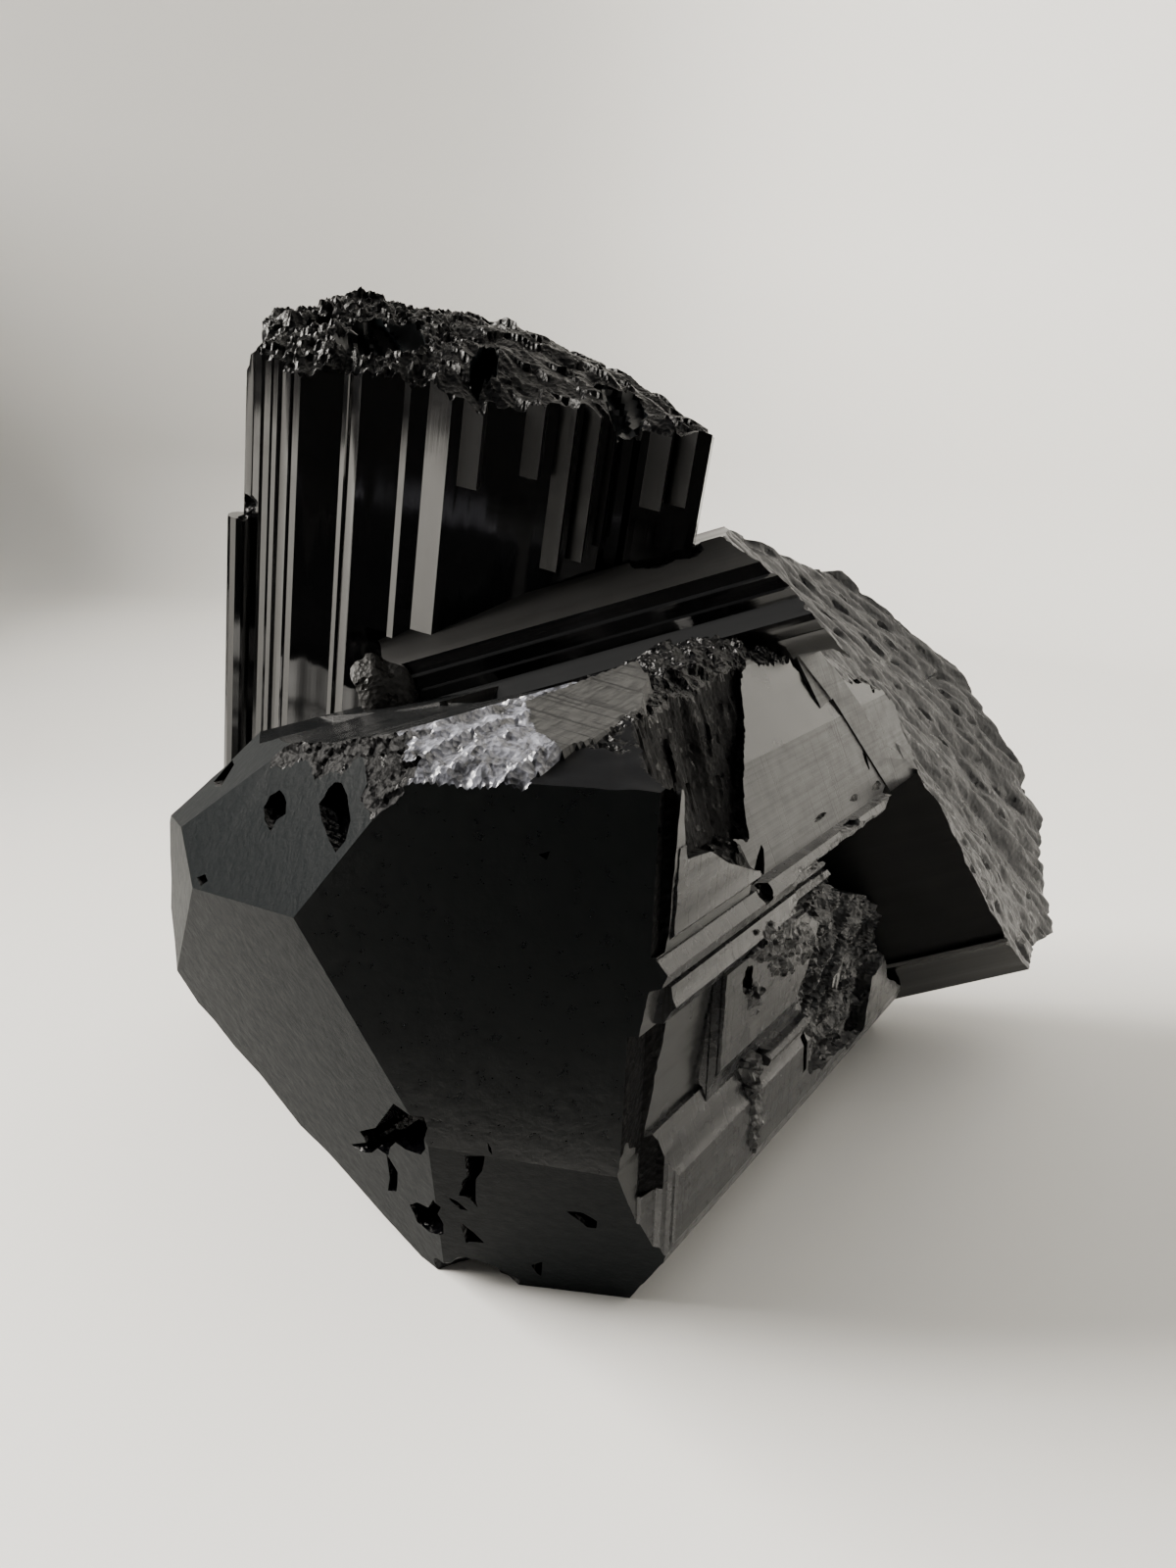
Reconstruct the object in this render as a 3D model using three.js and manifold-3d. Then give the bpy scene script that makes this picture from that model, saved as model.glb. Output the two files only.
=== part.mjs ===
// Schorl (black tourmaline) crystal cluster: three stout, striated prisms grown through one another.
// The lying crystal rests on a side face, with its pyramid end at the front left. The leaning crystal
// crosses behind it, rising to the right, and ends in a scaly break. The upright crystal stands at the
// back left, with a broken top. They are one stone, so they are joined in one solid.
// Millimetres, +Z up, origin on the floor under the middle of the cluster. +X is right and +Y is back.
import * as THREE from "three";
import { mergeVertices } from "three/addons/utils/BufferGeometryUtils.js";
import Module from "manifold-3d";

const wasm = await Module();
wasm.setup();

const rad = THREE.MathUtils.degToRad;
const vec = (x, y, z) => new THREE.Vector3(x, y, z);

// Driving dimensions, in millimetres and degrees.
const LYING_HEADING = 32.3; // the lying crystal's length runs back and this far to the right
const LYING_TOP = 42.9; // height of its top side face above the floor
const LYING_SIDE = 16.6; // its right side face, measured from its own origin
const LYING_FRONT = 60;
const LYING_BACK = -27;
const LEANING_HEADING = -4.3; // the leaning crystal points right, and this far towards the front
const LEANING_RISE = 18; // and rises to the right by this angle
const LEANING_START = -17;
const LEANING_END = 60;
const UPRIGHT_AXIS = vec(0.117, -0.135, 0.984); // leans a little right and forward
const UPRIGHT_START = -12;
const UPRIGHT_END = 74;
const FAR = 130; // longer than anything in the cluster, for cutting blocks

// A repeatable random number from 0 to 1 for a lattice point.
function lattice(i, j, seed) {
  let n = Math.imul(i, 374761393) ^ Math.imul(j, 668265263) ^ Math.imul(seed, 2246822519);
  n = Math.imul(n ^ (n >>> 13), 1274126177);
  return ((n ^ (n >>> 16)) >>> 0) / 4294967295;
}

// Smooth noise from -1 to 1 at (x, y), one lattice cell per unit.
function noise(x, y, seed) {
  const i = Math.floor(x);
  const j = Math.floor(y);
  const fade = (t) => t * t * (3 - 2 * t);
  const [s, t] = [fade(x - i), fade(y - j)];
  const low = THREE.MathUtils.lerp(lattice(i, j, seed), lattice(i + 1, j, seed), s);
  const high = THREE.MathUtils.lerp(lattice(i, j + 1, seed), lattice(i + 1, j + 1, seed), s);
  return 2 * THREE.MathUtils.lerp(low, high, t) - 1;
}

// Two octaves of noise with features of the given size in millimetres.
const rough = (x, y, size, seed) =>
  noise(x / size, y / size, seed) + 0.5 * noise((2.1 * x) / size, (2.1 * y) / size, seed + 1);

// A crystal's own frame: u and v across it, w along its length.
const frameOf = (u, v, w) => new THREE.Matrix4().makeBasis(u, v, w);

const heading = rad(LYING_HEADING);
const lyingFrame = frameOf(
  vec(Math.cos(heading), -Math.sin(heading), 0),
  vec(0, 0, 1),
  vec(-Math.sin(heading), -Math.cos(heading), 0),
);

const leaningAxis = vec(1, 0, 0)
  .applyAxisAngle(vec(0, 1, 0), -rad(LEANING_RISE))
  .applyAxisAngle(vec(0, 0, 1), rad(LEANING_HEADING));
const leaningBack = vec(0, 0, 1).cross(leaningAxis).normalize();
const leaningFrame = frameOf(leaningBack, leaningAxis.clone().cross(leaningBack), leaningAxis);

const uprightAxis = UPRIGHT_AXIS.clone().normalize();
const uprightBack = uprightAxis.clone().cross(vec(1, 0, 0)).normalize();
const uprightFrame = frameOf(uprightBack.clone().cross(uprightAxis), uprightBack, uprightAxis);

// A closed geometry as a solid, placed by a frame.
function solidOf(geometry, frame) {
  const bare = geometry.index ? geometry.toNonIndexed() : geometry.clone();
  bare.deleteAttribute("normal");
  bare.deleteAttribute("uv");
  if (frame) bare.applyMatrix4(frame);
  const merged = mergeVertices(bare, 1e-4);
  return new wasm.Manifold(
    new wasm.Mesh({
      numProp: 3,
      vertProperties: merged.attributes.position.array,
      triVerts: new Uint32Array(merged.index.array),
    }),
  );
}

// Joins a list of solids.
const joined = (solids) => solids.reduce((whole, next) => whole.add(next));

// Cuts a list of solids out of a body.
const without = (body, cutters) => cutters.reduce((left, next) => left.subtract(next), body);

// A prism of the outline's (u, v) points, from start to end along w.
function prism(outline, start, end, frame) {
  const shape = new THREE.Shape(outline.map(([u, v]) => new THREE.Vector2(u, v)));
  const geometry = new THREE.ExtrudeGeometry(shape, { depth: end - start, bevelEnabled: false });
  geometry.translate(0, 0, start);
  return solidOf(geometry, frame);
}

// An outline's side from one corner to the next, broken into long flutes that stand in by up to depth.
function flutedSide([u0, v0], [u1, v1], flutes, depth, seed) {
  const length = Math.hypot(u1 - u0, v1 - v0);
  const [inU, inV] = [-(v1 - v0) / length, (u1 - u0) / length];
  const points = [[u0, v0]];
  for (let i = 1; i < flutes; i++) {
    const share = (i + 0.6 * (lattice(i, 0, seed) - 0.5)) / flutes;
    const inset = depth * lattice(i, 1, seed);
    points.push([
      u0 + (u1 - u0) * share + inU * inset,
      v0 + (v1 - v0) * share + inV * inset,
    ]);
  }
  return points;
}

// A whole outline from corners listed anticlockwise, each with the flutes of the side that follows it.
function flutedOutline(corners, depth, seed) {
  return corners.flatMap(([u, v, flutes], i) => {
    const next = corners[(i + 1) % corners.length];
    return flutedSide([u, v], next, flutes, depth, seed + i);
  });
}

// The space beyond a flat face. Tilt is the angle between the face's normal and w, and turn is the
// normal's direction round w, anticlockwise from u. The face goes through the given point.
function beyondFace(tilt, turn, through, frame) {
  const [t, r] = [rad(tilt), rad(turn)];
  const normal = vec(Math.sin(t) * Math.cos(r), Math.sin(t) * Math.sin(r), Math.cos(t));
  const block = new THREE.BoxGeometry(2 * FAR, 2 * FAR, FAR).translate(0, 0, FAR / 2);
  block.applyQuaternion(new THREE.Quaternion().setFromUnitVectors(vec(0, 0, 1), normal));
  block.translate(...through);
  return solidOf(block, frame);
}

// The space above a broken surface, from x0 to x1 and y0 to y1: a block whose lower face follows
// height(x, y).
function aboveBreak([x0, x1, columns], [y0, y1, rows], height, frame) {
  const block = new THREE.BoxGeometry(x1 - x0, y1 - y0, 1, columns, rows, 1);
  block.translate((x0 + x1) / 2, (y0 + y1) / 2, 0);
  const places = block.attributes.position;
  for (let i = 0; i < places.count; i++) {
    const low = places.getZ(i) < 0;
    places.setZ(i, low ? height(places.getX(i), places.getY(i)) : FAR);
  }
  return solidOf(block, frame);
}

// A lump with a chipped surface, for cutting pits and chips.
function lump([u, v, w], [ru, rv, rw], seed, frame, detail = 1) {
  const stone = new THREE.IcosahedronGeometry(1, detail);
  const places = stone.attributes.position;
  for (let i = 0; i < places.count; i++) {
    const p = vec(places.getX(i), places.getY(i), places.getZ(i));
    const swell = 1 + 0.28 * noise(2.3 * p.x + 1.7 * p.z + 9, 2.3 * p.y - 1.1 * p.z + 9, seed);
    places.setXYZ(i, u + ru * swell * p.x, v + rv * swell * p.y, w + rw * swell * p.z);
  }
  return solidOf(stone, frame);
}

// The lying crystal: corners as [u right, v up, flutes on the side that follows].
const LYING_LEFT = [
  [2.2, LYING_TOP, 8],
  [-24, 36.2, 4],
  [-31.5, 28, 3],
  [-32.5, 20, 3],
  [-27.5, 13.3, 5],
  [-16, 5.8, 4],
  [-2.6, 0, 1],
  [12.7, 0, 1],
  [15.2, 6.9, 3],
];
const LYING_BACK_CORNERS = [[15.2, 31.1, 2], [9.8, LYING_TOP, 1], ...LYING_LEFT];
const LYING_FRONT_CORNERS = [[16.6, 31.1, 1], [17, 40.2, 1], [15.6, LYING_TOP, 1], ...LYING_LEFT];
const APEX = [-3.4, 31, 43];
const NOTCH_BACK = 20; // behind its front corner the crystal is broken away from here
const NOTCH_FRONT = 31.2; // to here

function lyingCrystal() {
  const body = [
    prism(flutedOutline(LYING_BACK_CORNERS, 0.7, 11), LYING_BACK, NOTCH_BACK, lyingFrame),
    prism(flutedOutline(LYING_FRONT_CORNERS, 0.7, 11), NOTCH_BACK - 0.1, LYING_FRONT, lyingFrame),
    ...lyingLedges(),
  ];
  const ends = [
    beyondFace(27.3, 3, [LYING_SIDE, 31.7, 32.7], lyingFrame),
    beyondFace(22, -123, APEX, lyingFrame),
    beyondFace(37.9, 122.2, APEX, lyingFrame),
    beyondFace(34.3, -47.7, [12.25, 0, 27.8], lyingFrame),
    beyondFace(33.2, 174.9, [-18, 28.1, 38.8], lyingFrame),
    beyondFace(59.9, 123.9, [-23.2, 30.9, 34.8], lyingFrame),
  ];
  const notch = prism(
    [[10.4, 33], [15, 32.6], [20, 33.8], [20, 46], [10.4, 46]],
    NOTCH_BACK,
    NOTCH_FRONT,
    lyingFrame,
  );
  const topBreak = aboveBreak([-36, 22, 34], [-47, 30, 44], lyingTopBreak, lyingTopFrame);
  const backBreak = aboveBreak([-22, 38, 16], [-4, 50, 14], lyingBackBreak, lyingBackFrame);
  return without(joined(body), [...ends, notch, topBreak, backBreak, ...lyingPits()]);
}

// The lying crystal's frame turned to look along it from behind, and the ragged break of its back end.
const lyingBackFrame = frameOf(
  vec(-Math.cos(heading), Math.sin(heading), 0),
  vec(0, 0, 1),
  vec(Math.sin(heading), Math.cos(heading), 0),
);
const lyingBackBreak = (x, v) => 23 - 0.0035 * (x - 4) ** 2 - 0.12 * (v - 12) + 1.2 * rough(x, v, 7, 20);

// The lying crystal's frame turned to look down on its top: x is u, y is minus w and z is v.
const lyingTopFrame = frameOf(
  vec(Math.cos(heading), -Math.sin(heading), 0),
  vec(Math.sin(heading), Math.cos(heading), 0),
  vec(0, 0, 1),
);

// The broken parts of the lying crystal's top: a granular slope behind its front edge, and a rough
// patch further back that falls away towards the leaning crystal.
function lyingTopBreak(u, y) {
  const w = -y;
  const edge = 41.2 - 0.516 * u;
  const steep = Math.max(0, (u - 3) / 9);
  const front = 40.2 + (0.3 + 1.7 * steep * steep) * (edge - w) + 0.25 * rough(u, w, 2.6, 70);
  const beyond = 0.836 * (u - 11.3) - 0.55 * (w - 26.4);
  const worn = LYING_TOP - 0.3 * Math.max(0, -w) - 0.6 + 0.7 * rough(u, w, 4, 80);
  const back = u > 1 && beyond > 0 ? worn : LYING_TOP + 2;
  return Math.min(front, back, LYING_TOP + 2);
}

// Long growth ledges on the right side face: each a bar with its own front end, given by its outline.
function lyingLedges() {
  const foot = [[12.7, 0.05], [16.6, 6.9], [16.6, 12.4], [15.4, 16.1], [10, 16.1], [10, 0.05]];
  const footTip = [[12.6, 0.05], [15, 5.6], [15, 14], [14.4, 15.6], [10, 15.6], [10, 0.05]];
  const recess = [[10, 16], [15.6, 16], [15.9, 24.6], [10, 24.6]];
  const fluted = [[10, 16], [15.2, 16], [15.7, 19], [15, 20.4], [15.7, 22], [15.5, 25.2], [10, 25.2]];
  const rod = [[10, 24.8], [16.4, 24.8], [16.9, 25.9], [16.6, 27.3], [15.6, 27.6], [10, 27.6]];
  const upperRod = [[10, 27.5], [15.7, 27.5], [16.9, 28.1], [17, 29.2], [16.2, 29.8], [10, 29.8]];
  const shelf = [[10, 29.6], [16.2, 29.9], [16.9, 31], [16.8, 33.4], [15.6, 34.4], [10, 34.4]];
  const sliver = [[10, 22], [16.1, 22.1], [16.6, 23.6], [16.1, 24.9], [10, 24.9]];
  return [
    prism(foot, LYING_BACK, 29.4, lyingFrame),
    prism(footTip, LYING_BACK, 33.9, lyingFrame),
    prism(recess, LYING_BACK, 21.5, lyingFrame),
    prism(fluted, LYING_BACK, 29, lyingFrame),
    prism(sliver, LYING_BACK, 16, lyingFrame),
    prism(rod, LYING_BACK, 31.5, lyingFrame),
    prism(upperRod, -12, 35, lyingFrame),
    prism(shelf, 14, 31.4, lyingFrame),
  ];
}

// Pits in the lying crystal, each at [u, v, w] with its half sizes.
function lyingPits() {
  const pits = [
    [[-11.5, 35.5, 36.7], [0.8, 1.7, 1.6]],
    [[-2.9, 36.8, 39.4], [0.9, 2.3, 2]],
    [[-25.6, 33.2, 29.3], [0.7, 1, 1]],
    [[-17.2, 28.9, 38.6], [0.5, 0.5, 0.6]],
    [[2.4, 17, 40.2], [2.1, 1.1, 1.5]],
    [[-1.4, 13.8, 37.9], [2.1, 0.9, 1.3]],
    [[2.2, 14.3, 40], [0.5, 1.7, 1.2]],
    [[1.3, 7.2, 36.5], [1.3, 1, 1.4]],
    [[6.3, 14.1, 37.7], [0.6, 1, 1]],
    [[5.1, 10.6, 36.3], [0.6, 1.2, 1]],
    [[4, 6.3, 34.8], [0.7, 0.8, 0.9]],
    [[11.9, 9.3, 32.6], [1.1, 0.5, 0.9]],
    [[7.2, 2.8, 31.5], [0.5, 0.7, 0.8]],
    [[16.8, 29.3, 17.8], [0.9, 0.7, 0.8]],
  ];
  return pits.map(([place, half], i) => lump(place, half, 90 + i, lyingFrame));
}

// The leaning crystal: corners as [u back, v up, flutes], listed clockwise and so turned round.
const LEANING_CORNERS = [
  [10.6, -2.6, 2],
  [6.9, 2.8, 3],
  [2.4, 20.7, 2],
  [-1, 32.7, 2],
  [-4.5, 42.1, 1],
  [-3.3, 46, 1],
  [-0.3, 48.5, 3],
  [13.5, 48.1, 4],
  [23.8, 39.5, 4],
  [27.2, 25.8, 5],
  [25.5, 7, 3],
  [18.7, -3.3, 2],
].reverse();

// The scaly break across the leaning crystal's right end, as a distance along its length. It bulges
// at the back and is drawn in at the top.
function leaningBreak(u, v) {
  const [x, y] = [u - 10, v - 20];
  const bulge = 31.7 + 0.245 * x - 0.35 * y + 0.021 * x * x - 0.003 * x * y - 0.0043 * y * y;
  return bulge + 0.8 * rough(u, 0.45 * v, 3.2, 40);
}

// Its left end, buried in the upright crystal's foot at the front and broken off behind.
const leaningRootFrame = frameOf(
  leaningBack.clone().negate(),
  leaningAxis.clone().cross(leaningBack),
  leaningAxis.clone().negate(),
);
const leaningRoot = (x, v) => 14 - 0.03 * Math.max(0, 12 - x) + 0.9 * rough(x, v, 6, 30);

function leaningCrystal() {
  const outline = flutedOutline(LEANING_CORNERS, 0.7, 31);
  const body = prism(outline, LEANING_START, LEANING_END, leaningFrame);
  const cutters = [
    aboveBreak([-14, 36, 26], [-12, 58, 34], leaningBreak, leaningFrame),
    lump([0.5, 48.6, 13.6], [3.4, 1.4, 3.4], 130, leaningFrame),
    lump([-2, 46.5, -14.6], [3.6, 3, 2.4], 131, leaningFrame),
    aboveBreak([-36, 14, 16], [-14, 58, 18], leaningRoot, leaningRootFrame),
  ];
  return without(body, cutters);
}

// The upright crystal: corners as [u right, v back, flutes]. Narrow steps in its front catch the light.
const UPRIGHT_FRONT = [
  [-39.2, 6.4],
  [-35.6, 6.5],
  [-35, 7.2],
  [-34.1, 6.6],
  [-30.2, 6.7],
  [-29.6, 7.3],
  [-28.9, 6.8],
  [-27.3, 6.8],
  [-26.1, 7.6],
  [-25.1, 7],
  [-17.6, 7],
  [-17, 7.7],
  [-16.5, 7.1],
  [-15.3, 7.1],
  [-14.8, 7.8],
  [-14.2, 7.2],
  [-13.3, 7.2],
  [-12.7, 9.8],
  [-11.6, 9.6],
  [-11.1, 7.6],
  [-9.6, 7.5],
  [-9.2, 8.1],
  [-8.7, 7.7],
  [-8.2, 8.3],
].map(([u, v]) => [u, v, 1]);
const UPRIGHT_CORNERS = [
  ...UPRIGHT_FRONT,
  [-5.4, 8.6, 5],
  [-6, 22, 6],
  [-18, 33, 6],
  [-34, 32, 6],
  [-44, 20, 3],
  [-44.6, 11.3, 4],
];

// The broken top of the upright crystal: a dome that is highest left of its middle.
function uprightBreak(u, v) {
  const crest = 5.7 - 0.0095 * (u + 32) ** 2;
  const across = Math.sin((Math.PI * (v - 5)) / 32);
  return 58.9 + crest * across + 0.5 * rough(u, v, 3, 60) - 0.1 * Math.max(0, -38 - u);
}

function uprightCrystal() {
  const outline = flutedOutline(UPRIGHT_CORNERS, 0.7, 51);
  const body = prism(outline, UPRIGHT_START, UPRIGHT_END, uprightFrame);
  const cutters = [
    aboveBreak([-50, 0, 30], [2, 40, 22], uprightBreak, uprightFrame),
    lump([-34.5, 12.5, 62.2], [2.8, 2.6, 2.6], 140, uprightFrame),
    lump([-24.8, 11, 62.6], [0.8, 3, 2.2], 141, uprightFrame),
    lump([-13.2, 11.5, 61.4], [1.8, 2.4, 1.8], 142, uprightFrame),
    lump([-44.2, 8.8, 47.6], [1.5, 2, 1.1], 143, uprightFrame),
    lump([-45.6, 11, 61.5], [2.6, 5, 4.5], 144, uprightFrame),
  ];
  return without(body, cutters);
}

// The broken underside of the two crystals behind: it touches the floor under the upright one, and
// is a little clear of it elsewhere.
function undersideBreak(x, y) {
  const away = 0.012 * ((x + 27) ** 2 + 0.8 * (y - 24) ** 2);
  return Math.min(away - 0.8, 4) + 0.7 * rough(x, y, 6, 150);
}

// The cluster, cut off level where it rests on the floor.
function cluster() {
  const under = new THREE.BoxGeometry(100, 50, 1, 34, 16, 1).translate(0, 25, 0);
  const places = under.attributes.position;
  for (let i = 0; i < places.count; i++) {
    const top = places.getZ(i) > 0;
    places.setZ(i, top ? undersideBreak(places.getX(i), places.getY(i)) : -FAR);
  }
  const behind = joined([leaningCrystal(), uprightCrystal()]).subtract(solidOf(under));
  const floor = solidOf(new THREE.BoxGeometry(4 * FAR, 4 * FAR, FAR).translate(0, 0, -FAR / 2));
  return joined([lyingCrystal(), behind]).subtract(floor);
}

// A solid as a three.js geometry with flat faces.
function geometryOf(solid) {
  const mesh = solid.getMesh();
  const places = new Float32Array(mesh.numVert * 3);
  for (let i = 0; i < mesh.numVert; i++) {
    places.set(mesh.vertProperties.subarray(i * mesh.numProp, i * mesh.numProp + 3), i * 3);
  }
  const geometry = new THREE.BufferGeometry();
  geometry.setAttribute("position", new THREE.BufferAttribute(places, 3));
  geometry.setIndex(new THREE.BufferAttribute(mesh.triVerts, 1));
  geometry.computeVertexNormals();
  return geometry;
}

const schorl = new THREE.MeshStandardMaterial({ color: 0x0b0c0e, roughness: 0.22, metalness: 0 });
const stone = new THREE.Mesh(geometryOf(cluster()), schorl);
stone.name = "schorl_cluster";

const group = new THREE.Group();
group.add(stone);

export default group;
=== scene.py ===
"""Schorl crystal cluster: three black tourmaline crystals that grew through one another.

Shapes are worked out in millimetres in each crystal's own axes, cut and joined, and then turned to
metres. Every surface is a function of two parameters on a grid, or an outline carried along an axis.
"""

import logging
import math
from collections.abc import Iterator
from dataclasses import dataclass, field
from enum import Enum, IntEnum

import bpy
import numpy as np
from mathutils import Matrix


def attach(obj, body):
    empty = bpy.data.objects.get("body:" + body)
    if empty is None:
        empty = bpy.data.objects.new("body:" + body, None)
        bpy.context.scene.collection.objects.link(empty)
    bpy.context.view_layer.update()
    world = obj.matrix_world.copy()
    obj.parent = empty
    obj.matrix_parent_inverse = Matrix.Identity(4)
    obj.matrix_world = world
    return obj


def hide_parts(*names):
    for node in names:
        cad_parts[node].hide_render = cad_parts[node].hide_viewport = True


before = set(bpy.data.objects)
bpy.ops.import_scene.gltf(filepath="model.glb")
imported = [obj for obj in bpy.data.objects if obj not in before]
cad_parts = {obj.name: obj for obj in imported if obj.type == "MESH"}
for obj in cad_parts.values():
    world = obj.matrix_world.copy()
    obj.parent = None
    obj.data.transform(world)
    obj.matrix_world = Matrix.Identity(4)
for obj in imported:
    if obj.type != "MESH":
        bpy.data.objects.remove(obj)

Array = np.ndarray
Finish = bpy.types.Material
Triple = tuple[float, float, float]
MM = 0.001
FAR = 130.0  # longer than anything in the cluster, in millimetres, for cutting blocks
CREASE = 18.0  # edges sharper than this, in degrees, stay sharp
NODE = "schorl_cluster"
LOG = logging.getLogger("schorl")


def lattice(i: Array, j: Array, seed: int) -> Array:
    """Gives every whole-number point (i, j) a repeatable random number by mixing its bits.

    Args:
        i: whole numbers along the first direction.
        j: whole numbers along the second direction.
        seed: which of the random sheets to read.

    Returns:
        Numbers from 0 to 1, in the shape of i and j.
    """
    with np.errstate(over="ignore"):
        a = np.asarray(i).astype(np.int64).astype(np.uint32) * np.uint32(374761393)
        b = np.asarray(j).astype(np.int64).astype(np.uint32) * np.uint32(668265263)
        c = np.uint32((seed * 2246822519) & 0xFFFFFFFF)
        n = a ^ b ^ c
        n = (n ^ (n >> np.uint32(13))) * np.uint32(1274126177)
        n = n ^ (n >> np.uint32(16))
    return n.astype(np.float64) / 4294967295.0


def noise(x: Array, y: Array, seed: int) -> Array:
    """Blends the four lattice numbers round each point with a smooth step.

    Args:
        x: first coordinate, one lattice cell per unit.
        y: second coordinate.
        seed: which random sheet to read.

    Returns:
        Smooth values from -1 to 1.
    """
    i, j = np.floor(x), np.floor(y)
    s, t = x - i, y - j
    s, t = s * s * (3 - 2 * s), t * t * (3 - 2 * t)
    low = lattice(i, j, seed) * (1 - s) + lattice(i + 1, j, seed) * s
    high = lattice(i, j + 1, seed) * (1 - s) + lattice(i + 1, j + 1, seed) * s
    return 2 * (low * (1 - t) + high * t) - 1


def rough(x: Array, y: Array, size: float, seed: int) -> Array:
    """Adds to the noise at one size half as much at under half that size.

    Args:
        x: first coordinate in millimetres.
        y: second coordinate in millimetres.
        size: width of the larger lumps in millimetres.
        seed: which random sheet to read.

    Returns:
        Values from about -1.5 to 1.5.
    """
    coarse = noise(x / size, y / size, seed)
    return coarse + 0.5 * noise(2.1 * x / size, 2.1 * y / size, seed + 1)


def cells(x: Array, y: Array, size: float, seed: int) -> Iterator[tuple[Array, Array, Array]]:
    """Goes through the nine jittered lattice points round each place.

    Args:
        x: first coordinate in millimetres.
        y: second coordinate in millimetres.
        size: spacing of the points in millimetres.
        seed: which random sheets to read.

    Yields:
        The distance from the point along its random direction and the squared distance, both in
        cells, and the point's random number.
    """
    i, j = np.floor(x / size), np.floor(y / size)
    for di in (-1, 0, 1):
        for dj in (-1, 0, 1):
            ci, cj = i + di, j + dj
            dx = x / size - ci - lattice(ci, cj, seed)
            dy = y / size - cj - lattice(ci, cj, seed + 1)
            turn = 2 * math.pi * lattice(ci, cj, seed + 2)
            along = np.cos(turn) * dx + np.sin(turn) * dy
            yield along, dx * dx + dy * dy, lattice(ci, cj, seed + 3)


def scales(x: Array, y: Array, size: float, seed: int, lean: float = 0.5) -> Array:
    """Overlaps small tilted domes, one on each jittered lattice point, and keeps the highest.

    The height of a dome is its own random start, plus its lean times the distance along a random
    direction, less the squared distance. Where two domes meet there is a crease.

    Args:
        x: first coordinate in millimetres.
        y: second coordinate in millimetres.
        size: spacing of the domes in millimetres.
        seed: which random sheets to read.
        lean: how far the domes tilt.

    Returns:
        Heights of about -1 to 1, to be scaled by the caller.
    """
    best = np.full(np.shape(x), -np.inf)
    for along, away, number in cells(x, y, size, seed):
        best = np.maximum(best, 0.6 * number + lean * along - away)
    return best


def chips(x: Array, y: Array, size: float, seed: int, tilt: float = 0.5) -> Array:
    """Gives each point the tilted flat facet of its nearest jittered lattice point.

    A facet's height is a random start plus a random slope times the distance from its own point, so
    facets meet at small cliffs, like chips of broken glass.

    Args:
        x: first coordinate in millimetres.
        y: second coordinate in millimetres.
        size: spacing of the facets in millimetres.
        seed: which random sheets to read.
        tilt: greatest slope, in height per cell.

    Returns:
        Heights of about -1 to 1, to be scaled by the caller.
    """
    nearest = np.full(np.shape(x), np.inf)
    height = np.zeros(np.shape(x))
    for along, away, number in cells(x, y, size, seed):
        height = np.where(away < nearest, number - 0.5 + tilt * along, height)
        nearest = np.minimum(away, nearest)
    return height


def unit(v: Array) -> Array:
    """Scales a vector to length 1."""
    return np.asarray(v, float) / np.linalg.norm(v)


def turned(v: Array, axis: Array, degrees: float) -> Array:
    """Turns a vector about an axis by Rodrigues' formula.

    Args:
        v: the vector.
        axis: the axis to turn about.
        degrees: the angle.

    Returns:
        The turned vector.
    """
    k, a = unit(axis), math.radians(degrees)
    return v * math.cos(a) + np.cross(k, v) * math.sin(a) + k * np.dot(k, v) * (1 - math.cos(a))


@dataclass(frozen=True)
class Axes:
    """A crystal's own directions: u and v across it, and w along it."""

    u: Array
    v: Array
    w: Array

    def place(self, points: Array) -> Array:
        """Turns points given as (u, v, w) into world points.

        Args:
            points: array whose last axis holds u, v and w.

        Returns:
            World points of the same shape, in millimetres.
        """
        return points @ np.stack([self.u, self.v, self.w])

    def angles(self) -> Triple:
        """Gives the turn that takes world coordinates into these axes.

        Returns:
            The turn as XYZ Euler angles, in radians.
        """
        m = np.stack([self.u, self.v, self.w])
        pitch = math.asin(-m[2, 0])
        return math.atan2(m[2, 1], m[2, 2]), pitch, math.atan2(m[1, 0], m[0, 0])


class Cut(Enum):
    """The ways that one solid changes another."""

    ADD = "UNION"
    TAKE = "DIFFERENCE"
    KEEP = "INTERSECT"


@dataclass
class Solid:
    """A closed mesh in millimetres with one material, and what is cut from or joined to it."""

    name: str
    obj: bpy.types.Object
    tools: list[tuple[Cut, "Solid"]] = field(default_factory=list)

    def change(self, how: Cut, *others: "Solid") -> "Solid":
        """Notes solids to join, take away or keep within, in order, and gives this solid back."""
        self.tools.extend((how, other) for other in others)
        return self

    def evaluated(self) -> bpy.types.Mesh:
        """Carries out the noted cuts and joins, deletes the tools and keeps the result.

        Returns:
            The finished mesh, still in millimetres.
        """
        for how, tool in self.tools:
            if tool.tools:
                tool.evaluated()
            step = self.obj.modifiers.new(tool.name, "BOOLEAN")
            step.solver = "MANIFOLD"
            step.material_mode = "TRANSFER"
            step.operation = how.value
            step.object = tool.obj
        graph = bpy.context.evaluated_depsgraph_get()
        graph.update()
        mesh = bpy.data.meshes.new_from_object(self.obj.evaluated_get(graph))
        self.obj.modifiers.clear()
        for _, tool in self.tools:
            bpy.data.objects.remove(tool.obj)
        self.tools.clear()
        self.obj.data = mesh
        return mesh


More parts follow.
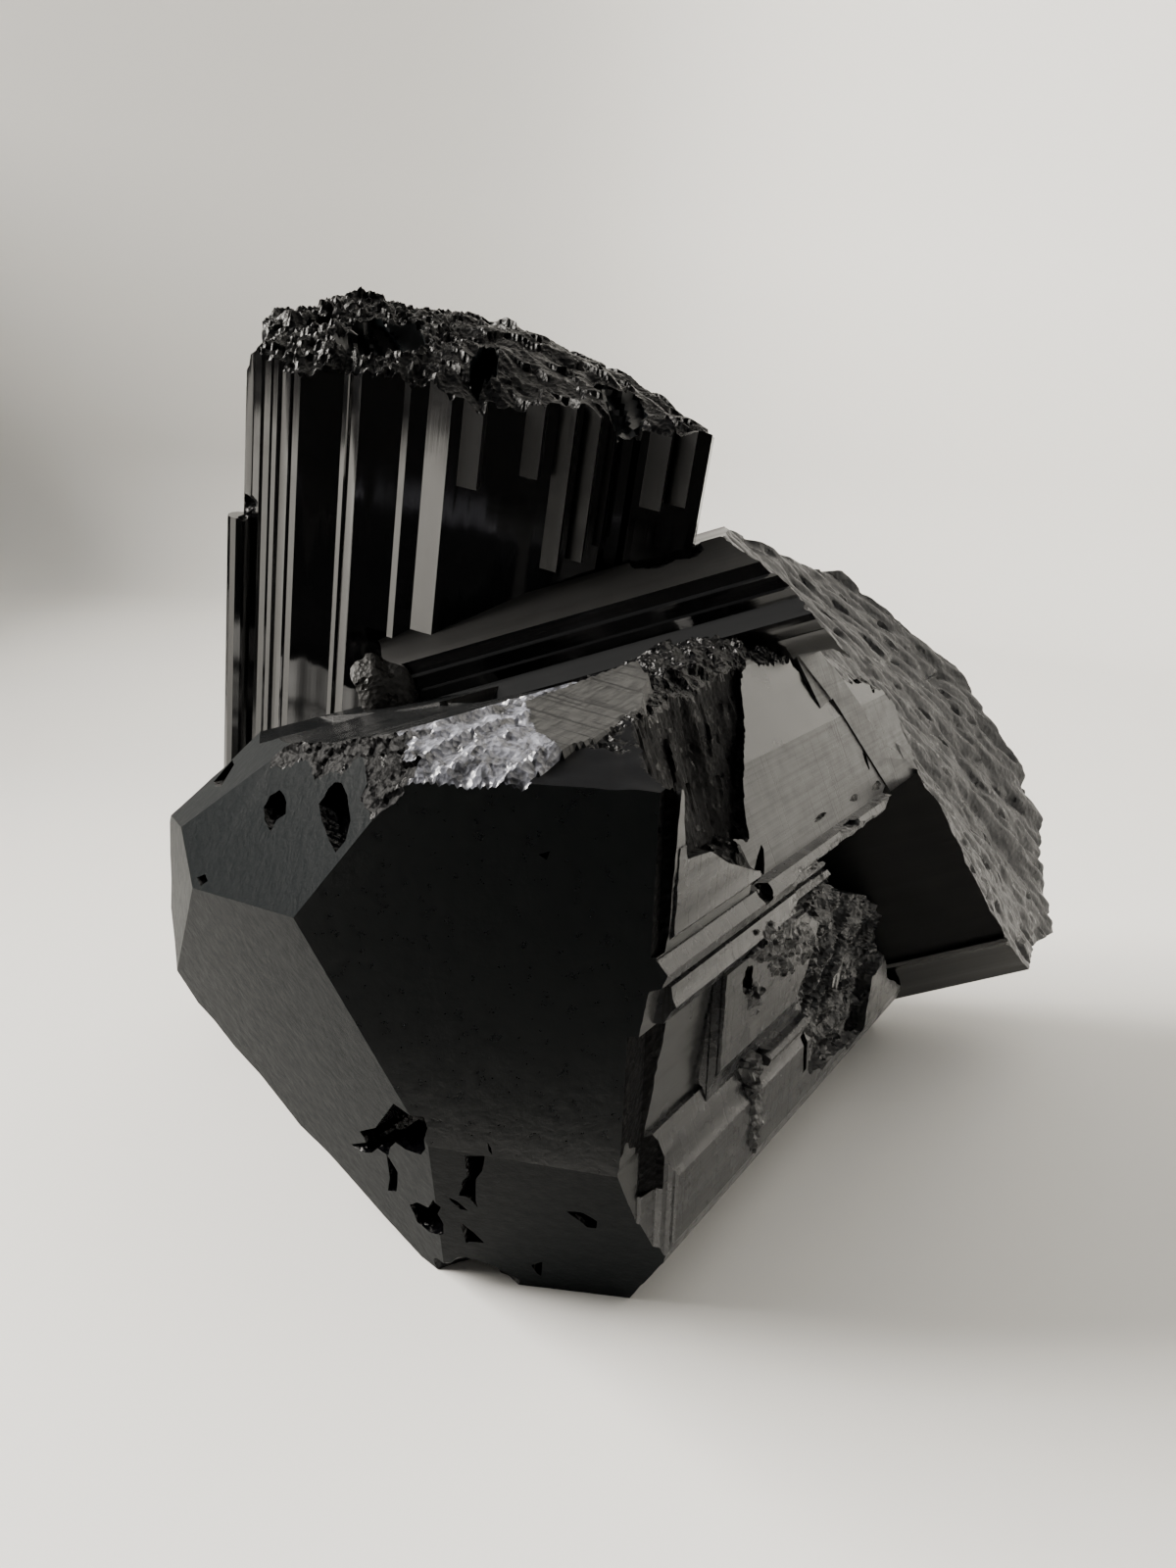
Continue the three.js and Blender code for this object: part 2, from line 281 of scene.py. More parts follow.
def solid(
    name: str, points: Array, faces: list[list[int]], *finishes: Finish,
    pick: Array | None = None,
) -> Solid:
    """Puts points and faces into a mesh object.

    Args:
        name: the object's name.
        points: world points in millimetres, one row each.
        faces: point numbers of each face, anticlockwise from outside.
        finishes: the materials of its faces.
        pick: the number of each face's material, where there are several.

    Returns:
        The solid.
    """
    mesh = bpy.data.meshes.new(name)
    mesh.from_pydata(points, [], faces)
    for finish in finishes:
        mesh.materials.append(finish)
    if pick is not None:
        mesh.polygons.foreach_set("material_index", pick.astype(np.int32).ravel())
    obj = bpy.data.objects.new(name, mesh)
    bpy.context.scene.collection.objects.link(obj)
    return Solid(name, obj)


def carried(name: str, rings: Array, finish: Finish) -> Solid:
    """Joins a stack of closed rings into a tube with flat ends.

    Args:
        name: the object's name.
        rings: world points, shape (rings, points round, 3), anticlockwise seen from the last ring.
        finish: the material of all its faces.

    Returns:
        The closed solid.
    """
    m, n = rings.shape[:2]
    k = np.arange(m * n).reshape(m, n)
    after = np.roll(k, -1, axis=1)
    sides = np.stack([k[:-1], after[:-1], after[1:], k[1:]], -1).reshape(-1, 4)
    caps = [k[0, ::-1].tolist(), k[-1].tolist()]
    return solid(name, rings.reshape(-1, 3), sides.tolist() + caps, finish)


def squares(rows: int, columns: int) -> Array:
    """Numbers the corners of each square of a grid, whose outside is rows x columns."""
    k = np.arange(rows * columns).reshape(rows, columns)
    return np.stack([k[:-1, :-1], k[1:, :-1], k[1:, 1:], k[:-1, 1:]], -1).reshape(-1, 4)


def slab(
    name: str, low: Array, high: Array, *finishes: Finish, pick: Array | None = None,
) -> Solid:
    """Closes the space between two grids of the same size with a strip along each edge.

    Args:
        name: the object's name.
        low: grid of world points, shape (rows, columns, 3).
        high: the grid above it, where rows x columns turns towards high.
        finishes: the materials; the first is used wherever pick says nothing.
        pick: the material's number at each point of the low grid.

    Returns:
        The closed solid.
    """
    m, n = low.shape[:2]
    k = np.arange(m * n).reshape(m, n)
    quads = squares(m, n)
    edges = [k[:, 0], k[::-1, -1], k[0, ::-1], k[-1, :]]
    strips = [np.stack([e[:-1], e[1:], e[1:] + m * n, e[:-1] + m * n], -1) for e in edges]
    faces = np.concatenate([quads[:, ::-1], quads + m * n, *strips])
    number = np.zeros(len(faces))
    if pick is not None:
        number[: len(quads)] = np.asarray(pick)[:-1, :-1].ravel()
    points = np.concatenate([low, high]).reshape(-1, 3)
    return solid(name, points, faces.tolist(), *finishes, pick=number)


def ball(
    name: str, axes: Axes, centre: Triple, half: Triple,
    seed: int, finish: Finish, rows: int = 14, uneven: float = 0.3,
) -> Solid:
    """Swells a sphere's latitude and longitude grid with noise, and closes both poles.

    A point is the centre plus the half sizes times the unit direction, times 1 plus the noise.

    Args:
        name: the object's name.
        axes: the crystal's axes that centre and half are given in.
        centre: middle of the lump in millimetres.
        half: half sizes in millimetres.
        seed: which random sheet to read.
        finish: the material of all its faces.
        rows: rings from pole to pole, with twice as many points round.
        uneven: how far the lump departs from an ellipsoid.

    Returns:
        The closed solid.
    """
    lat = np.linspace(0, math.pi, rows + 2)[1:-1]
    lon = np.linspace(0, 2 * math.pi, 2 * rows, endpoint=False)
    a, b = np.meshgrid(lat, lon, indexing="ij")
    ring = np.stack([np.sin(a) * np.cos(b), np.sin(a) * np.sin(b), np.cos(a)], -1)
    p = np.concatenate([ring.reshape(-1, 3), [[0, 0, 1], [0, 0, -1]]])
    x, y = 2.3 * p[:, 0] + 1.7 * p[:, 2] + 9, 2.3 * p[:, 1] - 1.1 * p[:, 2] + 9
    swell = 1 + 0.93 * uneven * noise(x, y, seed) + 0.5 * uneven * scales(x, y, 0.7, seed)
    points = axes.place(np.asarray(centre) + np.asarray(half) * p * swell[:, None])
    k = np.arange(rows * 2 * rows).reshape(rows, 2 * rows)
    after = np.roll(k, -1, axis=1)
    sides = np.stack([k[:-1], k[1:], after[1:], after[:-1]], -1).reshape(-1, 4)
    top, end = k.size, k.size + 1
    caps = [[top, int(p), int(q)] for p, q in zip(k[0], after[0])]
    caps += [[end, int(q), int(p)] for p, q in zip(k[-1], after[-1])]
    return solid(name, points, sides.tolist() + caps, finish)


def fluted(corners: list[tuple[float, float, int]], depth: float, seed: int) -> Array:
    """Breaks each side of an outline into its number of long flutes that stand in by up to depth.

    Args:
        corners: (u, v, flutes on the side that follows), anticlockwise.
        depth: greatest inset in millimetres.
        seed: which random sheet to read.

    Returns:
        The outline's points, shape (n, 2).
    """
    points = []
    for k, (u, v, count) in enumerate(corners):
        start, end = np.array([u, v]), np.array(corners[(k + 1) % len(corners)][:2])
        run = end - start
        inward = np.array([-run[1], run[0]]) / np.linalg.norm(run)
        i = np.arange(1, count)
        share = (i + 0.6 * (lattice(i, i * 0, seed + k) - 0.5)) / count
        inset = depth * lattice(i, i * 0 + 1, seed + k)
        points.append(start[None])
        points.append(start + run * share[:, None] + inward * inset[:, None])
    return np.concatenate(points)


def striated(outline: Array, width: float, depth: float, seed: int) -> tuple[Array, Array]:
    """Adds fine grooves between an outline's corners, as runs of narrow facets of random inset.

    Args:
        outline: points of the outline, shape (n, 2), anticlockwise.
        width: usual width of a facet in millimetres.
        depth: greatest inset in millimetres.
        seed: which random sheet to read.

    Returns:
        The finer outline, shape (m, 2), and each point's inset as a vector, shape (m, 2).
    """
    base, inset = [], []
    for k, (start, end) in enumerate(zip(outline, np.roll(outline, -1, axis=0))):
        run = end - start
        length = np.linalg.norm(run)
        count = max(1, round(length / width))
        i = np.arange(count)
        share = (i + 0.7 * (lattice(i, i * 0 + k, seed) - 0.5) * (i > 0)) / count
        inward = np.array([-run[1], run[0]]) / length
        amount = depth * lattice(i, i * 0 + k, seed + 1) ** 2 * (i > 0)
        base.append(start + run * share[:, None])
        inset.append(inward * amount[:, None])
    return np.concatenate(base), np.concatenate(inset)


def anticlockwise(outline: Array) -> Array:
    """Turns an outline's order round if its signed area is negative.

    Args:
        outline: points of the outline, shape (n, 2).

    Returns:
        The same points, anticlockwise.
    """
    points = np.asarray(outline, float)
    ahead = np.roll(points, -1, axis=0)
    area = np.sum(points[:, 0] * ahead[:, 1] - ahead[:, 0] * points[:, 1])
    return points if area > 0 else points[::-1]


def prism(
    name: str, axes: Axes, outline: Array, start: float, end: float,
    finish: Finish, seed: int = 1, width: float = 0.45, depth: float = 0.07,
    step: float = 4.0,
) -> Solid:
    """Carries a striated outline along w, with the grooves' depth changing slowly on the way.

    A point is the outline's own, plus its inset times 0.75 plus a quarter of the noise at its
    place round the outline and along w.

    Args:
        name: the object's name.
        axes: the crystal's axes.
        outline: coarse outline in (u, v), shape (n, 2).
        start: first w in millimetres.
        end: last w in millimetres.
        finish: the material of its sides.
        seed: which random sheets to read.
        width: usual width of a groove in millimetres.
        depth: greatest depth of a groove in millimetres.
        step: length of a ring along w in millimetres.

    Returns:
        The closed solid.
    """
    outline = anticlockwise(outline)
    base, inset = striated(outline, width, depth, seed)
    w = np.linspace(start, end, max(2, round((end - start) / step)))
    j, k = np.meshgrid(w, np.arange(len(base)), indexing="ij")
    change = 0.75 + 0.25 * noise(k * 0.37, j / 11, seed + 2)
    across = base[None] + inset[None] * change[..., None]
    return carried(name, axes.place(np.concatenate([across, j[..., None]], -1)), finish)


def facing(tilt: float, turn: float) -> Array:
    """Gives a flat face's normal from its two angles.

    Args:
        tilt: angle between the normal and w, in degrees.
        turn: the normal's direction round w, anticlockwise from u, in degrees.

    Returns:
        The unit normal as (u, v, w).
    """
    t, r = math.radians(tilt), math.radians(turn)
    return np.array([math.sin(t) * math.cos(r), math.sin(t) * math.sin(r), math.cos(t)])


def beyond(
    name: str, axes: Axes, tilt: float, turn: float, through: Triple,
    finish: Finish,
) -> Solid:
    """Makes the block beyond a flat crystal face, to cut with.

    Args:
        name: the object's name.
        axes: the crystal's axes.
        tilt: angle between the face's normal and w, in degrees.
        turn: the normal's direction round w, anticlockwise from u, in degrees.
        through: a point of the face, as (u, v, w) in millimetres.
        finish: the face's material.

    Returns:
        The closed solid.
    """
    normal = facing(tilt, turn)
    side = unit(np.cross(normal, [0.3, 0.5, 0.8]))
    other = np.cross(normal, side)
    s = np.array([-FAR, FAR])
    grid = s[:, None, None] * side + s[None, :, None] * other + np.asarray(through)
    return slab(name, axes.place(grid), axes.place(grid + FAR * normal), finish)


def broken(
    name: str, axes: Axes, x: Array, y: Array, height: Array, *finishes: Finish,
    pick: Array | None = None, reach: float = FAR,
) -> Solid:
    """Makes the space above a broken surface, to cut with.

    Args:
        name: the object's name.
        axes: axes whose w is the way the surface faces.
        x: the grid's places along u.
        y: its places along v.
        height: the surface's w at each of them.
        finishes: the break's materials.
        pick: the material's number at each place.
        reach: the w of the flat other side.

    Returns:
        The closed solid.
    """
    low = axes.place(np.stack([x, y, height], -1))
    high = axes.place(np.stack([x, y, np.full_like(x, reach)], -1))
    return slab(name, low, high, *finishes, pick=pick)


def hole(
    name: str, axes: Axes, outline: list[tuple[float, float]], start: float, end: float,
    finish: Finish, seed: int, depth: float = 4.5,
) -> Solid:
    """Makes a jagged hole: an outline carried along w, each ring pulled about by noise.

    Ring by ring the outline grows from 0.55 of its size at the bottom to its full size at depth,
    and keeps that size from there on.

    Args:
        name: the object's name.
        axes: the crystal's axes.
        outline: (u, v) points, in either direction.
        start: w of the hole's bottom.
        end: w above its mouth.
        finish: the walls' material.
        seed: which random sheets to read.
        depth: height over which it opens to its full size, in millimetres.

    Returns:
        The closed solid.
    """
    points = anticlockwise(outline)
    points = np.stack([points, (points + np.roll(points, -1, axis=0)) / 2], 1).reshape(-1, 2)
    middle = points.mean(0)
    share = np.array([0, 0.1, 0.25, 0.45, 0.65, 0.85, 1.0, 1.0])
    j, k = np.meshgrid(share, np.arange(len(points)), indexing="ij")
    size = 0.55 + 0.45 * np.sqrt(j) + 0.1 * noise(4.1 * j + 5, 0.8 * k, seed) * (j < 0.9)
    across = middle + (points - middle)[None] * size[..., None]
    along = start + depth * j
    along[-1] = end
    return carried(name, axes.place(np.concatenate([across, along[..., None]], -1)), finish)


def spread(start: float, end: float, step: float) -> Array:
    """Gives evenly spaced values from start to end, about step apart."""
    return np.linspace(start, end, round((end - start) / step) + 1)


def plot(
    x: Triple, y: Triple,
) -> tuple[Array, Array]:
    """Gives the grid of places over x and y, each stated as its start, end and step."""
    return tuple(np.meshgrid(spread(*x), spread(*y), indexing="ij"))


def linear(code: str) -> tuple[float, float, float, float]:
    """Turns an sRGB colour into linear light.

    Args:
        code: the colour as hex.

    Returns:
        Linear red, green and blue, and 1.
    """
    parts = [int(code[i : i + 2], 16) / 255 for i in (1, 3, 5)]
    flat = [c / 12.92 if c <= 0.04045 else ((c + 0.055) / 1.055) ** 2.4 for c in parts]
    return (flat[0], flat[1], flat[2], 1.0)


def node(
    tree: bpy.types.NodeTree, kind: str, settings: dict[str, object] | None = None,
    inputs: dict[str | int, object] | None = None,
) -> bpy.types.Node:
    """Adds a shader node, sets it and links it.

    Args:
        tree: the material's node tree.
        kind: the node's type name without ShaderNode.
        settings: the node's own properties.
        inputs: values, or output sockets to link from, by input name or number.

    Returns:
        The node.
    """
    made = tree.nodes.new("ShaderNode" + kind)
    for key, value in (settings or {}).items():
        setattr(made, key, value)
    for key, value in (inputs or {}).items():
        if isinstance(value, bpy.types.NodeSocket):
            tree.links.new(value, made.inputs[key])
        else:
            made.inputs[key].default_value = value
    return made


def begun(
    name: str, colour: str, roughness: float, ior: float = 1.5, sheen: float = 0.5,
) -> tuple[Finish, bpy.types.NodeTree, bpy.types.Node]:
    """Starts a material and sets its shader's constants.

    Args:
        name: the material's name.
        colour: its colour as sRGB hex.
        roughness: how matt it is where nothing is linked to that.
        ior: its refractive index.
        sheen: strength of its reflection, where 0.5 is what the index gives.

    Returns:
        The material, its node tree and its shader.
    """
    made = bpy.data.materials.new(name)
    made.use_nodes = True
    shader = made.node_tree.nodes["Principled BSDF"]
    shader.inputs["Base Color"].default_value = linear(colour)
    shader.inputs["Roughness"].default_value = roughness
    shader.inputs["IOR"].default_value = ior
    shader.inputs["Specular IOR Level"].default_value = sheen
    return made, made.node_tree, shader


@dataclass(frozen=True)
class PrismFace:
    """Schorl, as grown on a side face: black, vitreous, finely grooved along the crystal.

    The grooves stretch every reflection across the crystal, and break it into thin bright and dark
    lines along it.
    """

    name: str
    axes: Axes
    colour: str = "#050506"
    ior: float = 1.64
    roughness: float = 0.13
    sheen: float = 0.5
    groove_mm: float = 0.35
    groove_length_mm: float = 40.0
    wear_mm: float = 1 / 0.26
    bump: float = 0.35

    def material(self) -> Finish:
        """Builds the material.

        Returns:
            The material, with grooves from noise that is drawn out along w.
        """
        made, tree, shader = begun(self.name, self.colour, self.roughness, self.ior, self.sheen)
        place = node(tree, "TexCoord").outputs["Object"]
        own = node(tree, "Mapping", None, {"Vector": place, "Rotation": self.axes.angles()})
        fine, slow = 1 / (self.groove_mm * MM), 1 / (self.groove_length_mm * MM)
        long = node(tree, "Mapping", None, {"Vector": own.outputs[0], "Scale": (fine, fine, slow)})
        grooves = node(tree, "TexNoise", None, {
            "Vector": long.outputs[0], "Scale": 1.0, "Detail": 3.0, "Roughness": 0.6,
        })
        relief = node(tree, "Bump", None, {
            "Height": grooves.outputs["Fac"], "Strength": self.bump, "Distance": 0.05 * MM,
        })
        worn = node(tree, "TexNoise", None, {
            "Vector": place, "Scale": 1 / (self.wear_mm * MM), "Detail": 4.0,
        })
        level = node(tree, "MapRange", None, {
            "Value": worn.outputs["Fac"], "From Min": 0.35, "From Max": 0.7,
            "To Min": self.roughness, "To Max": self.roughness + 0.1,
        })
        tree.links.new(level.outputs[0], shader.inputs["Roughness"])
        tree.links.new(relief.outputs["Normal"], shader.inputs["Normal"])
        return made


@dataclass(frozen=True)
class PyramidFace:
    """Schorl, as grown on an end face: black and satin, with faint growth mottling.

    The surface is smooth to the touch but slightly etched, so it shows soft sheen, not a mirror.
    """

    name: str
    colour: str = "#060a0c"
    ior: float = 1.64
    roughness: float = 0.3
    sheen: float = 0.5
    mottle_mm: float = 0.9
    etch_mm: float = 1 / 3.5
    uneven: float = 2.5

    def material(self) -> Finish:
        """Builds the material.

        Returns:
            The material, with mottled roughness and a slight etch.
        """
        made, tree, shader = begun(self.name, self.colour, self.roughness, self.ior, self.sheen)
        place = node(tree, "TexCoord").outputs["Object"]
        mottle = node(tree, "TexNoise", None, {
            "Vector": place, "Scale": 1 / (self.mottle_mm * MM), "Detail": 6.0, "Roughness": 0.65,
        })
        level = node(tree, "MapRange", None, {
            "Value": mottle.outputs["Fac"], "From Min": 0.35, "From Max": 0.7,
            "To Min": self.roughness - 0.03, "To Max": self.roughness + 0.05,
        })
        etch = node(tree, "TexNoise", None, {
            "Vector": place, "Scale": 1 / (self.etch_mm * MM), "Detail": 2.0,
        })
        uneven = node(tree, "Math", {"operation": "MULTIPLY_ADD"}, {
            0: mottle.outputs["Fac"], 1: self.uneven, 2: etch.outputs["Fac"],
        })
        relief = node(tree, "Bump", None, {
            "Height": uneven.outputs[0], "Strength": 0.12, "Distance": 0.04 * MM,
        })
        tree.links.new(level.outputs[0], shader.inputs["Roughness"])
        tree.links.new(relief.outputs["Normal"], shader.inputs["Normal"])
        return made


@dataclass(frozen=True)
class BrokenFace:
    """Schorl, freshly broken: a hackly, granular surface of tiny chips.

    Most chips are dull and look black. A few are flat as glass, and each of these mirrors the light
    by itself, so the break glitters here and there.
    """

    name: str
    colour: str = "#08090b"
    ior: float = 1.64
    roughness: float = 0.55
    sheen: float = 0.3
    mirrors: float = 0.08
    grain_mm: float = 0.5
    dust_mm: float = 1 / 2.6
    bump: float = 0.6

    def material(self) -> Finish:
        """Builds the material.

        Returns:
            The material, with chips from cell noise, of which the given share mirrors.
        """
        made, tree, shader = begun(self.name, self.colour, self.roughness, self.ior, self.sheen)
        place = node(tree, "TexCoord").outputs["Object"]
        cells = node(tree, "TexVoronoi", None, {
            "Vector": place, "Scale": 1 / (self.grain_mm * MM), "Randomness": 1.0,
        })
        grain = node(tree, "TexNoise", None, {
            "Vector": place, "Scale": 1 / (self.dust_mm * MM), "Detail": 4.0,
        })
        both = node(tree, "Math", {"operation": "ADD"}, {
            0: cells.outputs["Distance"], 1: grain.outputs["Fac"],
        })
        relief = node(tree, "Bump", None, {
            "Height": both.outputs[0], "Strength": self.bump, "Distance": 0.18 * MM,
        })
        own = node(tree, "SeparateColor", None, {0: cells.outputs["Color"]})
        level = node(tree, "MapRange", None, {
            "Value": own.outputs[0], "From Min": self.mirrors, "From Max": self.mirrors + 0.03,
            "To Min": 0.12, "To Max": self.roughness,
        })
        tree.links.new(level.outputs[0], shader.inputs["Roughness"])
        tree.links.new(relief.outputs["Normal"], shader.inputs["Normal"])
        return made


@dataclass(frozen=True)
class PlateFace:
    """Schorl, as grown on a broad bevel or cleaved flat: black, satin, with fine lines.

    Lines along the crystal and a few cross cracks break up a soft grey sheen.
    """

    name: str
    axes: Axes
    colour: str = "#060708"
    ior: float = 1.64
    roughness: float = 0.26
    sheen: float = 0.5
    line_mm: float = 0.3
    line_length_mm: float = 25.0
    crack_length_mm: float = 1 / 0.06
    mottle_mm: float = 1 / 0.7

    def material(self) -> Finish:
        """Builds the material.

        Returns:
            The material, with two crossing sets of drawn-out noise in relief.
        """
        made, tree, shader = begun(self.name, self.colour, self.roughness, self.ior, self.sheen)
        place = node(tree, "TexCoord").outputs["Object"]
        own = node(tree, "Mapping", None, {"Vector": place, "Rotation": self.axes.angles()})
        fine, slow = 1 / (self.line_mm * MM), 1 / (self.line_length_mm * MM)
        long = 1 / (self.crack_length_mm * MM)
        lines = []
        for scale in ((fine, fine, slow), (long, long, 1.3 * fine)):
            drawn = node(tree, "Mapping", None, {"Vector": own.outputs[0], "Scale": scale})
            lines.append(node(tree, "TexNoise", None, {
                "Vector": drawn.outputs[0], "Scale": 1.0, "Detail": 3.0, "Roughness": 0.6,
            }).outputs["Fac"])
        cross = node(tree, "MapRange", None, {"Value": lines[1], "From Min": 0.36, "From Max": 0.42})
        both = node(tree, "Math", {"operation": "MULTIPLY_ADD"}, {
            0: cross.outputs[0], 1: 0.5, 2: lines[0],
        })
        relief = node(tree, "Bump", None, {
            "Height": both.outputs[0], "Strength": 0.4, "Distance": 0.05 * MM,
        })
        drawn_in = node(tree, "MapRange", None, {
            "Value": both.outputs[0], "From Min": 0.8, "From Max": 1.1,
        })
        tint = node(tree, "Mix", {"data_type": "RGBA"}, {
            0: drawn_in.outputs[0], 6: linear("#050506"), 7: linear(self.colour),
        })
        tree.links.new(tint.outputs[2], shader.inputs["Base Color"])
        mottle = node(tree, "TexNoise", None, {
            "Vector": place, "Scale": 1 / (self.mottle_mm * MM), "Detail": 5.0,
        })
        level = node(tree, "MapRange", None, {
            "Value": mottle.outputs["Fac"], "From Min": 0.3, "From Max": 0.7,
            "To Min": self.roughness - 0.04, "To Max": self.roughness + 0.12,
        })
        tree.links.new(level.outputs[0], shader.inputs["Roughness"])
        tree.links.new(relief.outputs["Normal"], shader.inputs["Normal"])
        return made


@dataclass(frozen=True)
class SilveryPaintedSheenBreak:
    """Schorl, broken into a silvery, faintly lilac granular band.

    Its pale colour is painted sheen: it stands in for the light that the band's many tiny chips mirror,
    so the break looks grey beside the black faces.
    """

    name: str
    # dark and pale are the two tones of the painted sheen, not the stone's own colour.
    dark: str = "#1a1b20"
    pale: str = "#8c8e99"
    ior: float = 1.64
    roughness: float = 0.3
    cloud_mm: float = 1 / 0.62
    grain_mm: float = 0.4

    def material(self) -> Finish:
        """Builds the material.

        Returns:
            The material, its painted sheen paler in cloudy patches.
        """
        made, tree, shader = begun(self.name, self.pale, self.roughness, self.ior)
        place = node(tree, "TexCoord").outputs["Object"]
        cloud = node(tree, "TexNoise", None, {
            "Vector": place, "Scale": 1 / (self.cloud_mm * MM), "Detail": 5.0, "Roughness": 0.7,
            "Distortion": 0.8,
        })
        share = node(tree, "MapRange", None, {
            "Value": cloud.outputs["Fac"], "From Min": 0.38, "From Max": 0.66,
        })
        # Painted sheen: the pale tone stands in for the light that the band's tiny chips mirror.
        mixed = node(tree, "Mix", {"data_type": "RGBA"}, {
            0: share.outputs[0], 6: linear(self.dark), 7: linear(self.pale),
        })
        grain = node(tree, "TexVoronoi", None, {
            "Vector": place, "Scale": 1 / (self.grain_mm * MM), "Randomness": 1.0,
        })
        relief = node(tree, "Bump", None, {
            "Height": grain.outputs["Distance"], "Strength": 0.7, "Distance": 0.15 * MM,
        })
        tree.links.new(mixed.outputs[2], shader.inputs["Base Color"])
        tree.links.new(relief.outputs["Normal"], shader.inputs["Normal"])
        return made


def finished(piece: Solid) -> bpy.types.Object:
    """Turns a cut solid into metres and shades it smooth up to the crease angle.

    Args:
        piece: the solid, in millimetres, with its cuts noted.

    Returns:
        The finished object, at the origin.
    """
    mesh = piece.evaluated()
    points = np.empty(len(mesh.vertices) * 3, np.float32)
    mesh.vertices.foreach_get("co", points)
    mesh.vertices.foreach_set("co", points * MM)
    mesh.shade_smooth()
    mesh.set_sharp_from_angle(angle=math.radians(CREASE))
    mesh.update()
    mesh.name = piece.name
    LOG.info("%s: %d faces", piece.name, len(mesh.polygons))
    return piece.obj


class Top(IntEnum):
    """The surfaces of the lying crystal's top, numbered in the order of their finishes."""

    PATCH = 0
    RUBBLE = 1
    SILVER = 2
    SLOPE = 3
    NOTCH = 4


